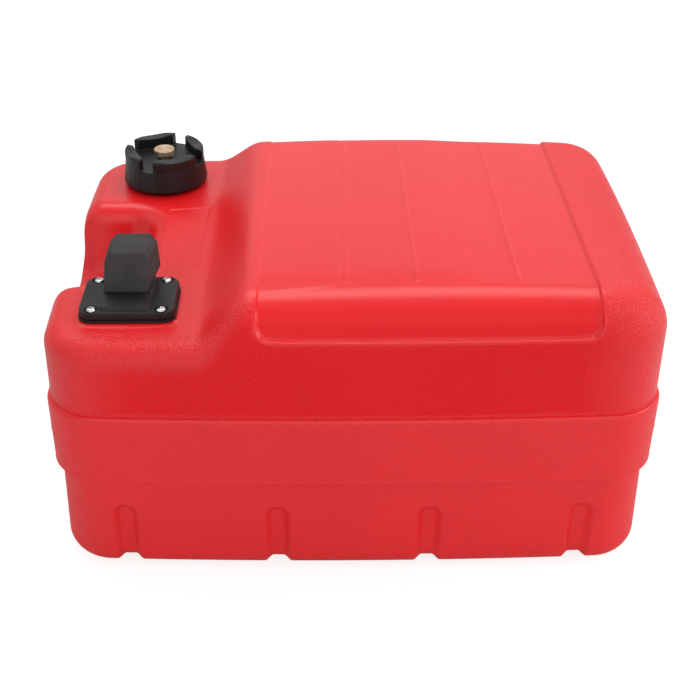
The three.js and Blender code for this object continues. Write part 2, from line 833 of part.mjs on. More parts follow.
function flangePlate() {
  const ring = (shrink, z) => [plateWidth - 2 * shrink, plateDepth - 2 * shrink, plateCorner - shrink, z];
  const plate = loft([ring(0, plateFoot), ring(0, plateTop - plateEdge), ring(plateEdge, plateTop)],
    plateX, plateY);
  const padFront = plateY - plateDepth / 2 + padFrontMargin;
  const padBack = plateY + plateDepth / 2 - plateEdge;
  const padDepth = padBack - padFront;
  const padRing = (shrink, z) => [padWidth - 2 * shrink, padDepth - 2 * shrink, padCorner, z];
  const pad = loft([padRing(0, plateTop - plateEdge), padRing(0, plateTop), padRing(padTaper, padTop)],
    jointX, (padFront + padBack) / 2);
  const boss = rod(stemBossRadius, plateFoot - stemBossLength, plateFoot + plateEdge, jointX, jointY);
  const socket = stemLength + 2 * seatGap;
  const cuts = [
    rod(stemRadius + seatGap, padTop - socket, above, jointX, jointY, smallSides),
    rod(tubeBore, plateFoot - stemBossLength - cutOver, above, jointX, jointY, smallSides),
    rod(tubeRadius + seatGap, plateFoot - stemBossLength - cutOver,
      plateFoot - stemBossLength + tubeGrip + seatGap, jointX, jointY, smallSides),
  ];
  for (const [x, y] of fastenerPlaces()) {
    cuts.push(rod(recessRadius, plateTop - screwSink, above, x, y, smallSides));
    cuts.push(rod(screwShankRadius + seatGap, plateFoot - cutOver, above, x, y, smallSides));
  }
  return plate.add(pad).add(boss).subtract(wasm.Manifold.union(cuts));
}

function flangeGasket() {
  const low = seatTop + seatGap;
  const cuts = fastenerPlaces().map(([x, y]) =>
    rod(screwShankRadius + seatGap, low - cutOver, above, x, y, smallSides));
  cuts.push(rod(stemBossRadius + seatGap, low - cutOver, above, jointX, jointY));
  return slab(plateWidth + 2 * gasketProud, plateDepth + 2 * gasketProud, plateCorner + gasketProud,
    low, low + gasketThickness, plateX, plateY).subtract(wasm.Manifold.union(cuts));
}

function flangeScrew([x, y]) {
  const headFoot = plateTop - screwSink + seatGap;
  const headTop = headFoot + screwHeadThickness;
  const screw = turned([
    [0, headFoot - screwLength],
    [screwShankRadius, headFoot - screwLength],
    [screwShankRadius, headFoot],
    ...screwHeadShares.map(([out, up]) => [out * screwHeadRadius, headFoot + up * screwHeadThickness]),
    [0, headTop],
  ], x, y, smallSides);
  const cross = [[crossLength, crossWidth], [crossWidth, crossLength]].map(([w, d]) =>
    box([x - w / 2, y - d / 2, headTop - crossDepth], [x + w / 2, y + d / 2, headTop + cutOver]));
  return screw.subtract(wasm.Manifold.union(cross));
}

function flangeInsert([x, y]) {
  return tube(insertRadius, screwShankRadius + seatGap, seatTop - insertLength, seatTop - seatGap, x, y, smallSides);
}

function fuelJointBody() {
  const blockTop = blockFoot + blockHeight;
  const block = slab(blockWidth, blockDepth, blockCorner, blockFoot, blockTop, jointX, jointY);
  const barrel = turned([
    [0, padTop - stemLength],
    [stemRadius, padTop - stemLength],
    [stemRadius, blockFoot + cutOver],
    [spigotRadius, blockFoot + cutOver],
    [spigotRadius, spigotTop - spigotEdge],
    [spigotRadius - spigotEdge, spigotTop],
    [0, spigotTop],
  ], jointX, jointY, middleSides);
  const bore = turned([
    [0, padTop - stemLength - cutOver],
    [outletRadius, padTop - stemLength - cutOver],
    [outletRadius, padTop - stemLength + outletLength],
    [chamberRadius, padTop - stemLength + outletLength],
    [chamberRadius, spigotTop - orificeLength],
    [orificeRadius, spigotTop - orificeLength],
    [orificeRadius, spigotTop + cutOver],
    [0, spigotTop + cutOver],
  ], jointX, jointY, smallSides);
  const pinHoles = [-1, 1].map((side) =>
    rod(pinRadius + seatGap, blockTop - pinSink - seatGap, above, jointX + side * pinSpan / 2, jointY, smallSides));
  return block.add(barrel).subtract(bore).subtract(wasm.Manifold.union(pinHoles));
}

function guidePin(side) {
  const foot = blockFoot + blockHeight - pinSink;
  const top = foot + pinSink + pinHeight;
  return turned([
    [0, foot],
    [pinRadius, foot],
    [pinRadius, top - pinRadius / 2],
    [pinRadius / 2, top],
    [0, top],
  ], jointX + side * pinSpan / 2, jointY, smallSides);
}

const poppetSealTop = spigotTop - orificeLength - seatGap;
const poppetHeadTop = poppetSealTop - poppetSealThickness - seatGap;
const poppetHeadFoot = poppetHeadTop - poppetHeadThickness;

function valvePoppet() {
  const top = spigotTop + poppetProud;
  return turned([
    [0, poppetHeadFoot],
    [chamberRadius - seatGap, poppetHeadFoot],
    [chamberRadius - seatGap, poppetHeadTop],
    [poppetPinRadius, poppetHeadTop],
    [poppetPinRadius, top - poppetPinRadius / 2],
    [poppetPinRadius / 2, top],
    [0, top],
  ], jointX, jointY, smallSides);
}

function poppetSeal() {
  return tube(chamberRadius - seatGap, poppetPinRadius + seatGap, poppetHeadTop + seatGap, poppetSealTop,
    jointX, jointY, smallSides);
}

function valveSpring() {
  const foot = padTop - stemLength + outletLength + seatGap + springWire;
  const top = poppetHeadFoot - poppetTravel - seatGap - springWire;
  const middle = chamberRadius - seatGap - springWire;
  const steps = springSteps * springTurns;
  const rings = [];
  for (let i = 0; i <= steps; i += 1) {
    const angle = (i / steps) * springTurns * 2 * Math.PI;
    const ring = [];
    for (let k = 0; k < springSides; k += 1) {
      const turn = -(k / springSides) * 2 * Math.PI;
      const radius = middle + springWire * Math.cos(turn);
      ring.push([
        jointX + radius * Math.cos(angle),
        jointY + radius * Math.sin(angle),
        mix(foot, top, i / steps) + springWire * Math.sin(turn),
      ]);
    }
    rings.push(ring);
  }
  return sweptRings(rings);
}

function dustCover() {
  const foot = padTop + seatGap;
  const top = foot + coverHeight;
  const width = (coverFrontWidth + coverBackWidth) / 2;
  const ring = (sideInset, shrink, z) => [
    width - 2 * (sideInset + shrink),
    coverDepth - 2 * shrink,
    coverCorner,
    z,
    coverBackWidth - coverFrontWidth,
  ];
  const outer = loft([
    ring(0, 0, foot),
    ring(0, 0, top - coverShoulder),
    ring(coverShoulderInset, 0, top - coverEdge),
    ring(coverShoulderInset, coverEdge, top),
  ], jointX, coverY);
  const inner = loft([
    ring(0, coverWall, foot - cutOver),
    ring(0, coverWall, top - coverShoulder),
    ring(coverShoulderInset, coverWall, top - coverWall),
  ], jointX, coverY);
  return outer.subtract(inner);
}

function pickupTube() {
  const top = plateFoot - stemBossLength + tubeGrip;
  return tube(tubeRadius, tubeBore, tubeFoot, top, jointX, jointY, smallSides);
}

function pickupStrainer() {
  const top = strainerFloor + strainerHeight;
  const cup = turned([
    [0, strainerFloor],
    [strainerRadius, strainerFloor],
    [strainerRadius, top],
    [tubeRadius + seatGap, top],
    [tubeRadius + seatGap, top - strainerWall * 2],
    [strainerRadius - strainerWall, top - strainerWall * 2],
    [strainerRadius - strainerWall, strainerFloor + strainerWall],
    [0, strainerFloor + strainerWall],
  ], jointX, jointY, middleSides);
  const windows = [];
  for (let i = 0; i < windowCount; i += 1) {
    const window = new THREE.BoxGeometry(strainerRadius, windowWidth, windowHeight);
    window.translate(strainerRadius, 0, strainerFloor + strainerWall + windowHeight / 2 + cutOver);
    window.rotateZ(i * 2 * Math.PI / windowCount);
    window.translate(jointX, jointY, 0);
    windows.push(toSolid(window));
  }
  return cup.subtract(wasm.Manifold.union(windows));
}

// Materials

function redPolyethylene() {
  return new THREE.MeshStandardMaterial({ color: 0xd8242c, roughness: 0.5, metalness: 0 });
}

function blackPlastic() {
  return new THREE.MeshStandardMaterial({ color: 0x1e1c1d, roughness: 0.45, metalness: 0 });
}

function blackRubber() {
  return new THREE.MeshStandardMaterial({ color: 0x2c2b2c, roughness: 0.8, metalness: 0 });
}

function brass() {
  return new THREE.MeshStandardMaterial({ color: 0xb8935a, roughness: 0.35, metalness: 1 });
}

function chrome() {
  return new THREE.MeshStandardMaterial({ color: 0xd0d2d4, roughness: 0.15, metalness: 1 });
}

function springSteel() {
  return new THREE.MeshStandardMaterial({ color: 0x9a9c9e, roughness: 0.3, metalness: 1 });
}

function paleNylon() {
  return new THREE.MeshStandardMaterial({ color: 0xd9d6cc, roughness: 0.5, metalness: 0 });
}

function fuelTubing() {
  return new THREE.MeshStandardMaterial({ color: 0x3a3a3c, roughness: 0.4, metalness: 0 });
}

// Assembly

const fuelTank = new THREE.Group();
fuelTank.name = 'fuel_tank';

function addPiece(parent, name, solid, material) {
  const mesh = new THREE.Mesh(toGeometry(solid), material);
  mesh.name = name;
  parent.add(mesh);
}

const filler = new THREE.Group();
const fitting = new THREE.Group();
fuelTank.add(filler, fitting);

addPiece(fuelTank, 'tank_shell', tankShell(), redPolyethylene());

addPiece(filler, 'filler_cap', fillerCap(), blackPlastic());
addPiece(filler, 'cap_seal', capSeal(), blackRubber());
addPiece(filler, 'vent_bush', ventBush(), brass());
addPiece(filler, 'vent_seal', ventSeal(), blackRubber());
addPiece(filler, 'vent_screw', ventScrew(), brass());

addPiece(fitting, 'flange_plate', flangePlate(), blackPlastic());
addPiece(fitting, 'flange_gasket', flangeGasket(), blackRubber());
fastenerPlaces().forEach((spot, i) => {
  addPiece(fitting, `flange_screw_${i + 1}`, flangeScrew(spot), chrome());
  addPiece(fitting, `flange_insert_${i + 1}`, flangeInsert(spot), brass());
});
addPiece(fitting, 'fuel_joint_body', fuelJointBody(), blackPlastic());
addPiece(fitting, 'guide_pin_1', guidePin(-1), brass());
addPiece(fitting, 'guide_pin_2', guidePin(1), brass());
addPiece(fitting, 'valve_poppet', valvePoppet(), brass());
addPiece(fitting, 'poppet_seal', poppetSeal(), blackRubber());
addPiece(fitting, 'valve_spring', valveSpring(), springSteel());
addPiece(fitting, 'dust_cover', dustCover(), blackRubber());
addPiece(fitting, 'pickup_tube', pickupTube(), fuelTubing());
addPiece(fitting, 'pickup_strainer', pickupStrainer(), paleNylon());

export default fuelTank;
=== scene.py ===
import math

import bmesh
import bpy
import numpy as np
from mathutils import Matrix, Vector


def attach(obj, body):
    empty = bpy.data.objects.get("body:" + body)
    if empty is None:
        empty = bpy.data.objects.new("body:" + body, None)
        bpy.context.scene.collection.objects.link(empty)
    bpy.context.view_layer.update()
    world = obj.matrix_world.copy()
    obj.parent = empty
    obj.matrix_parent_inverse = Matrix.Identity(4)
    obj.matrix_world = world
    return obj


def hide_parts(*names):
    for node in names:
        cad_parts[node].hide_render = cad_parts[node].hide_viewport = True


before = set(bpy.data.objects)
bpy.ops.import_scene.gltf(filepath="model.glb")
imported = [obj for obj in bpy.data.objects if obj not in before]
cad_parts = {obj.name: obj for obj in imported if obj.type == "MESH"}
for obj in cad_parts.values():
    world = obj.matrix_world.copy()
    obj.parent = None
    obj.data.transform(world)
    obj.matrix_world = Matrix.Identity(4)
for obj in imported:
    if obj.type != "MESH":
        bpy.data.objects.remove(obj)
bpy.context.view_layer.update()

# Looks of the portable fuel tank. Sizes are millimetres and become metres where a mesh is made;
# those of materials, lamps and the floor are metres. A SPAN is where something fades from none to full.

MM = 0.001
# Past any side, next to nothing, and how far a solid reaches into the one that it joins
OVER, TINY, JOIN = 400.0, 1e-6, 1.0
CORNERS = ((-1, -1), (1, -1), (1, 1), (-1, 1))

# Photograph and camera
IMAGE_SIDE = 700
SENSOR_WIDTH = 36.0
FOCAL_PIXELS = 1201.25
AXIS_PIXEL_X = 323.4
CAMERA_PLACE = (-27.54, -823.25, 634.17)
CAMERA_DOWN = 32.95
CAMERA_YAW = -0.459

# Tank body
SKIN_GAP = 0.3
TANK_LENGTH = 445.0
TANK_DEPTH = 308.0
TOP_HEIGHT = 228.5
TOP_CROWN = 2.5
CROWN_LIMIT = 2.0
WALL = 4.5
PLAN_CORNER = 34.0
FRONT_BOW = 5.8
END_BOW = 3.0
BOTTOM_RADIUS = 17.0

# Waist band, drafts, the faint mould line and the bead below it
BAND_BOTTOM = 85.0
BAND_TOP = 141.0
BAND_PROUD = 2.6
BAND_STEP = 2.4
BAND_LEDGE = 4.2
LOWER_INSET = 2.2
UPPER_DRAFT_SHARE = 0.016
LOWER_FLARE_SHARE = 0.03
MOULD_LINE = 113.0
MOULD_LINE_WIDTH = 1.8
MOULD_LINE_PROUD = 0.25
BAND_BEAD = 86.4

# Left part of the top
DECK_HEIGHT = 197.0
DOME_HEIGHT = 208.0
DECK_RAMP_START = -52.0
DOME_FRONT = 52.0
FLANK_FOOT = -110.0
FLANK_TOP = -72.0
TOP_EDGE_RADIUS = 34.0
BACK_EDGE_RADIUS = 26.0
DECK_EDGE_RADIUS = 13.0
LEAST_EDGE_RADIUS = 5.0
DOME_INSET = 4.5

# Hand-grip pocket
POCKET_FLOOR = 150.0
POCKET_FRONT = -55.0
POCKET_BACK = 41.0
POCKET_END = -156.0
POCKET_CORNER = 22.0
POCKET_ROLL_FRONT, POCKET_ROLL_BACK = 9.0, 15.0
POCKET_FOOT = 12.0
POCKET_DRAFT = 5.0
POCKET_FLARE_FRONT = 20.0
POCKET_FLARE_BACK = 8.0
POCKET_FLARE_START = -190.0

# Recessed panel, its ribs and the shallow step at its left
PANEL_LEFT = -65.5
PANEL_RIGHT = 165.5
PANEL_LOWER = 203.0
PANEL_DEPTH = 2.1
PANEL_CORNER = 10.0
PANEL_STEP = 1.7
PANEL_LEDGE, PANEL_SOFT = 0.6, 1.5
PANEL_SOFT_SPAN, PANEL_EASE_SPAN = (-120.0, -104.0), (-116.0, -100.0)
PANEL_RIGHT_SPAN = (60.0, 100.0)
PANEL_LEDGE_SPAN = (PANEL_LOWER + 4, PANEL_LOWER + 16)
PANEL_SLANT = 0.0096
PANEL_EASE = 0.45
RIB_PLACES = (-5.0, 42.0, 112.0)
RIB_WIDTH = 2.2
RIB_STEP = RIB_WIDTH * 0.9
RIB_HEIGHT = 0.42
RIB_SLANTS = (0.0145, 0.0, 0.0)
RIB_FRONT = -113.0
RIB_BACK = 123.0
PLATEAU_RIGHT, PLATEAU_FRONT, PLATEAU_RISE = -9.6, -124.0, 0.36
PLATEAU_SLANT, PLATEAU_CORNER = 0.14, 7.0
MARKS = ((-8.4, -110.2), (-3.2, -110.6), (40.4, -110.2), (43.2, -110.6))
MARK_DEPTH, MARK_SPREAD = 0.5, 0.5

# Blank frames on the saddle and on the front wall, slots, and the seat of the flange plate
SADDLE_FRAME = ((-142.5, 41.0), (-139.0, -28.0), (-115.0, -37.0), (-111.0, 45.0))
FRAME_DEPTH, FRAME_STEP = 0.34, 1.3
LABEL_LEFT = -154.0
LABEL_RIGHT = -6.0
LABEL_LOWER = 144.5
LABEL_UPPER = 182.0
LABEL_DEPTH, LABEL_STEP = 0.32, 1.4
LABEL_CORNER = 1.0
LABEL_FADE = 20.0
SLOT_PITCH = 112.0
SLOT_SHARES = (-1.5, -0.5, 0.5, 1.5)
SLOT_WIDTH = 14.0
SLOT_DEPTH = 4.5
SLOT_TOP = 58.5
SLOT_REACH = 42.0
SLOT_EDGE = 3.3
SEAT_RISE = 0.8
TRIM_STEP = 1.2
SEAT_MARGIN = 4.0

# Filler neck
FILLER = (-151.0, 96.0)
NECK_RADIUS = 24.0
NECK_BORE = 20.0
NECK_TOP = 221.5
NECK_SINK = 3.0
THREAD_PITCH = 5.0
THREAD_DEPTH = 1.5
THREAD_ROOT = 1.05
THREAD_TIP = 0.6
THREAD_TURNS = 1.25
THREAD_SIDES = 72
NECK_THREAD_START = 212.6

# Flange plate and fuel joint
PLATE_X, PLATE_Y = -158.5, -89.0
PLATE_WIDTH, PLATE_DEPTH = 66.5, 51.5
PLATE_CORNER = 8.5
SCREW_SPAN_X, SCREW_SPAN_Y = 48.4, 41.0
INSERT_RADIUS, INSERT_LENGTH, INSERT_GAP = 3.1, 7.0, 0.3
BOSS_RADIUS = 6.0
BOSS_FLOOR = 1.6
JOINT = (-159.5, -76.0)
DECK_HOLE_RADIUS = 10.5
HOLE_DEPTH = 15.0

HALF_LENGTH = TANK_LENGTH / 2 - BAND_PROUD - END_BOW
HALF_DEPTH = TANK_DEPTH / 2 - BAND_PROUD - FRONT_BOW


# Form functions; they take numpy arrays

def smooth(start, end, value):
    t = np.clip((value - start) / (end - start), 0, 1)
    return t * t * (3 - 2 * t)


def mix(a, b, share):
    return a + (b - a) * share


def rounded_distance(x, y, half_x, half_y, corner):
    qx = np.abs(x) - half_x + corner
    qy = np.abs(y) - half_y + corner
    outside = np.hypot(np.maximum(qx, 0), np.maximum(qy, 0))
    return outside + np.minimum(np.maximum(qx, qy), 0) - corner


def plan_point(u, v, spread):
    """Plan place and distance to the outline for u and v from -1 to 1."""
    a, b, corner = HALF_LENGTH + spread, HALF_DEPTH + spread, PLAN_CORNER + spread
    start_x, start_y = a - corner, b - corner
    x, y = np.abs(u * a), np.abs(v * b)
    p = np.maximum((x - start_x) / corner, 0)
    q = np.maximum((y - start_y) / corner, 0)
    both = (p > 0) & (q > 0)
    x = np.where(both, start_x + corner * p * np.sqrt(1 - q * q / 2), x)
    y = np.where(both, start_y + corner * q * np.sqrt(1 - p * p / 2), y)
    edge = np.maximum(-rounded_distance(x, y, a, b, corner), 0)
    bowed_x = x * (1 + (END_BOW / a) * (1 - (y / b) ** 2))
    bowed_y = y * (1 + (FRONT_BOW / b) * (1 - (x / a) ** 2))
    return np.sign(u) * bowed_x, np.sign(v) * bowed_y, edge


def left_surface(y):
    return mix(DECK_HEIGHT, DOME_HEIGHT, smooth(DECK_RAMP_START, DOME_FRONT, y))


def pocket_roll(y):
    """The pocket's lip is rounder at the back."""
    return mix(POCKET_ROLL_FRONT, POCKET_ROLL_BACK, smooth(POCKET_FRONT, POCKET_BACK, y))


def pocket_depth_profile(sd, top, lip_radius):
    """Height across the pocket's wall, from its rolled lip down to its filleted floor."""
    wall_top = top - lip_radius
    wall_foot = POCKET_FLOOR + POCKET_FOOT
    roll = np.clip((lip_radius - sd) / lip_radius, 0, 1)
    lip = top - lip_radius * (1 - np.sqrt(1 - roll * roll))
    wall = mix(wall_top, wall_foot, np.clip(-sd / POCKET_DRAFT, 0, 1))
    inner = np.clip((sd + POCKET_DRAFT + POCKET_FOOT) / POCKET_FOOT, 0, 1)
    floor = wall_foot - POCKET_FOOT * np.sqrt(1 - inner * inner)
    return np.where(sd > 0, lip, np.where(sd > -POCKET_DRAFT, wall, floor))


def pocket_distance(x, y):
    """Signed plan distance to the pocket's outline, negative inside."""
    outside = -TANK_LENGTH / 2 - 1
    share = np.clip((POCKET_FLARE_START - x) / (POCKET_FLARE_START - outside), 0, 1)
    flare = 1 - np.sqrt(1 - share ** 2)
    front = POCKET_FRONT - POCKET_FLARE_FRONT * flare
    back = POCKET_BACK + POCKET_FLARE_BACK * flare
    middle, half = (front + back) / 2, (back - front) / 2
    return rounded_distance(x - 2 * outside, y - middle, POCKET_END - 2 * outside, half, POCKET_CORNER)


def top_surface(x, y):
    middle, reach = (PANEL_LEFT + PANEL_RIGHT) / 2, (PANEL_RIGHT - PANEL_LEFT) / 2
    crown = TOP_CROWN * (1 - np.minimum(((x - middle) / reach) ** 2, CROWN_LIMIT))
    left = left_surface(y)
    sd = pocket_distance(x, y)
    lip_radius = pocket_roll(y)
    left = np.where(sd < lip_radius, pocket_depth_profile(sd, left, lip_radius), left)
    return mix(left, TOP_HEIGHT + crown, smooth(FLANK_FOOT, FLANK_TOP, x))


def edge_radius(height, y):
    """The top's edge is rounder at the front than at the back."""
    largest = mix(TOP_EDGE_RADIUS, BACK_EDGE_RADIUS, smooth(-HALF_DEPTH, HALF_DEPTH, y))
    slope = (largest - DECK_EDGE_RADIUS) / (TOP_HEIGHT - DECK_HEIGHT)
    return np.maximum(DECK_EDGE_RADIUS + slope * (height - DECK_HEIGHT), LEAST_EDGE_RADIUS)


def edge_drop(edge, radius):
    short = np.maximum(radius - edge, 0)
    return radius - np.sqrt(np.maximum(radius * radius - short * short, 0))


def wall_spread(z, banded):
    upper = -UPPER_DRAFT_SHARE * np.maximum(z - BAND_TOP, 0)
    lower = LOWER_FLARE_SHARE * np.maximum(BAND_BOTTOM - z, 0) - LOWER_INSET
    half_step = BAND_STEP / 2
    below = mix(lower, BAND_PROUD * banded, smooth(BAND_BOTTOM - half_step, BAND_BOTTOM + half_step, z))
    climb = np.clip((z - BAND_TOP + BAND_LEDGE) / BAND_LEDGE, 0, 1)
    return mix(below, upper, 1 - np.sqrt(1 - climb * climb))


def dome_shift(x, y, z):
    near_end = smooth(POCKET_END, -HALF_LENGTH, x)
    near_dome = smooth(POCKET_FRONT, DOME_FRONT, y)
    return DOME_INSET * near_end * near_dome * smooth(BAND_TOP, BAND_TOP + PLAN_CORNER, z)


def place(u, v, spread, z):
    x, y, _ = plan_point(u, v, spread)
    return np.stack([x + dome_shift(x, y, z), y, z], axis=-1)


def top_patch(u, v, banded):
    x, y, _ = plan_point(u, v, 0.0)
    height = top_surface(x, y)
    radius = edge_radius(height, y)
    spread = wall_spread(height - radius, banded)
    _, _, edge = plan_point(u, v, spread)
    return place(u, v, spread, height - edge_drop(edge, radius))


def bottom_patch(u, v, banded):
    spread = wall_spread(np.full_like(u, BOTTOM_RADIUS), banded)
    _, _, edge = plan_point(u, v, spread)
    return place(u, v, spread, edge_drop(edge, BOTTOM_RADIUS))


# Lowest height at which the front wall's top can end; rows above the band shrink below it.
ROW_LIMIT = DECK_HEIGHT - DECK_EDGE_RADIUS
ROW_FIXED = ROW_LIMIT - 1.0


def wall_patch(u, v, rows, banded):
    x, y, _ = plan_point(u, v, 0.0)
    height = top_surface(x, y)
    top = height - edge_radius(height, y)
    fixed = np.minimum(rows, ROW_FIXED)
    rest = np.maximum(rows - ROW_FIXED, 0)
    tall = fixed + rest * (np.maximum(top, ROW_LIMIT) - ROW_FIXED)
    share = (top - BAND_TOP) / (ROW_LIMIT - BAND_TOP)
    short = np.where(tall > BAND_TOP, BAND_TOP + (tall - BAND_TOP) * share, tall)
    z = np.where(top < ROW_LIMIT, short, tall)
    return place(u, v, wall_spread(z, banded), z)


NUDGE = 0.01


def marched(start, end, base, zones):
    """Stations from start to end: base apart, and closer where a zone (centre, reach, step) asks."""
    places = [start]
    while places[-1] < end - base / 2:
        here = places[-1]
        step = base
        for centre, reach, fine in zones:
            gap = max(abs(here - centre) - reach, 0)
            ahead = centre - reach - here
            if gap == 0:
                step = min(step, fine)
            elif 0 < ahead < base:
                step = min(step, max(ahead + NUDGE, fine))
        places.append(here + step)
    places[-1] = end
    return places


def rolled(radius, steps, fine_from=0.0, fine_to=0.0, fine_steps=0):
    """Distances in from an outline at even turns of a rounded edge, with closer ones between two turns."""
    turns = [*np.linspace(0, 90, steps + 1), *np.linspace(fine_from, fine_to, fine_steps)]
    turns = sorted(set(np.round(turns, 3)))
    return [radius * (1 - math.cos(math.radians(turn))) for turn in turns]


def make_mesh(name, points, faces):
    """A mesh object from an array of points in millimetres and a list or array of faces."""
    mesh = bpy.data.meshes.new(name)
    if isinstance(faces, np.ndarray):
        sides = faces.shape[1]
        mesh.vertices.add(len(points))
        mesh.vertices.foreach_set("co", (np.asarray(points) * MM).astype(np.float32).ravel())
        mesh.loops.add(faces.size)
        mesh.loops.foreach_set("vertex_index", faces.astype(np.int32).ravel())
        mesh.polygons.add(len(faces))
        mesh.polygons.foreach_set("loop_start", np.arange(len(faces), dtype=np.int32) * sides)
        mesh.update(calc_edges=True)
        mesh.validate()
    else:
        mesh.from_pydata([tuple(c * MM for c in point) for point in points], [], faces)
    obj = bpy.data.objects.new(name, mesh)
    bpy.context.scene.collection.objects.link(obj)
    return obj


def grid_form(us, vs, rows, banded):
    """Points and quads of the tank's form on a grid, with the patches joined at their borders."""
    points, quads, count = [], [], 0

    def add(patch):
        nonlocal count
        high, wide = patch.shape[:2]
        index = count + np.arange(high * wide).reshape(high, wide)
        count += high * wide
        points.append(patch.reshape(-1, 3))
        corners = [index[:-1, :-1], index[1:, :-1], index[1:, 1:], index[:-1, 1:]]
        quads.append(np.stack(corners, axis=-1).reshape(-1, 4))

    grid_u, grid_v = np.meshgrid(us, vs, indexing="ij")
    add(top_patch(grid_u, grid_v, banded))
    add(bottom_patch(grid_u[:, ::-1], grid_v[:, ::-1], banded))
    wall_u, wall_row = np.meshgrid(us, rows, indexing="ij")
    add(wall_patch(wall_u, np.full_like(wall_u, -1.0), wall_row, banded))
    add(wall_patch(wall_u[::-1], np.full_like(wall_u, 1.0), wall_row, banded))
    wall_v, wall_row = np.meshgrid(vs, rows, indexing="ij")
    add(wall_patch(np.full_like(wall_v, -1.0), wall_v[::-1], wall_row, banded))
    add(wall_patch(np.full_like(wall_v, 1.0), wall_v, wall_row, banded))
    points, quads = np.concatenate(points), np.concatenate(quads)
    _, first, inverse = np.unique(np.round(points, 3), axis=0, return_index=True, return_inverse=True)
    return points[first], inverse.ravel()[quads]


def vertex_normals(points, quads):
    a, b, c, d = (points[quads[:, k]] for k in range(4))
    face = np.cross(c - a, d - b)
    normals = np.zeros_like(points)
    for k in range(4):
        np.add.at(normals, quads[:, k], face)
    return normals / np.linalg.norm(normals, axis=1, keepdims=True)


def step_mask(sd, width):
    """One inside, nought outside, with a soft edge of that width."""
    return 1 - smooth(-width / 2, width / 2, sd)


def panel_distance(x, y, z):
    """Signed distance to the recessed panel's border, which runs a little aslant at the left."""
    left = PANEL_LEFT + PANEL_SLANT * y
    middle, half = (left + PANEL_RIGHT) / 2, (PANEL_RIGHT - left) / 2
    reach = TANK_DEPTH
    return rounded_distance(x - middle, z - PANEL_LOWER - reach, half, reach, PANEL_CORNER)


def panel_mask(x, y, z):
    """One on the panel; its border is wider at the right of the flat top."""
    flat_right = smooth(*PANEL_SOFT_SPAN, y) * smooth(*PANEL_RIGHT_SPAN, x)
    return step_mask(panel_distance(x, y, z), PANEL_STEP + PANEL_SOFT * flat_right)


def panel_depth(x, y, z):
    """Shallow on the flat top but for its right end, full on the rolls, and deepest low down."""
    flat = smooth(*PANEL_EASE_SPAN, y) * (1 - smooth(*PANEL_RIGHT_SPAN, x))
    low = 1 - smooth(*PANEL_LEDGE_SPAN, z)
    return (PANEL_DEPTH * (1 - PANEL_EASE * flat) + PANEL_LEDGE * low) * panel_mask(x, y, z)


def slot_mask(x, y, z, grow=0.0):
    mask = np.zeros_like(x)
    half = SLOT_WIDTH / 2 + grow
    for share in SLOT_SHARES:
        sd = rounded_distance(x - share * SLOT_PITCH, z - SLOT_TOP - grow + OVER, half, OVER, half)
        mask = np.maximum(mask, step_mask(sd, 2 * SLOT_EDGE))
    reach = TANK_DEPTH / 2 - SLOT_REACH - grow
    return mask * smooth(reach, reach + 2 * SLOT_EDGE, np.abs(y))


def plateau(x, y, z):
    """Left third of the panel stands a hair higher than the rest."""
    edge = PLATEAU_RIGHT + RIB_SLANTS[0] * y
    front = PLATEAU_FRONT + PLATEAU_SLANT * (x - PANEL_LEFT)
    sd = rounded_distance(x - edge + OVER, y - front - OVER, OVER, OVER, PLATEAU_CORNER)
    return np.where(z > PANEL_LOWER, PLATEAU_RISE * step_mask(sd, TRIM_STEP) * panel_mask(x, y, z), 0)


def saddle_frame(x, y, z):
    """Blank frame on the saddle, a hair sunk; its corners are listed anticlockwise."""
    sd = np.full_like(x, -OVER)
    for (ax, ay), (bx, by) in zip(SADDLE_FRAME, SADDLE_FRAME[1:] + SADDLE_FRAME[:1]):
        length = math.hypot(bx - ax, by - ay)
        sd = np.maximum(sd, ((x - ax) * (by - ay) - (y - ay) * (bx - ax)) / length)
    return np.where(z > ROW_LIMIT, FRAME_DEPTH * step_mask(sd, FRAME_STEP), 0)


def eject_marks(x, y):
    """Tiny pits at the front ends of two ribs."""
    depth = np.zeros_like(x)
    for mark_x, mark_y in MARKS:
        depth -= MARK_DEPTH * np.exp(-((x - mark_x) ** 2 + (y - mark_y) ** 2) / MARK_SPREAD)
    return depth


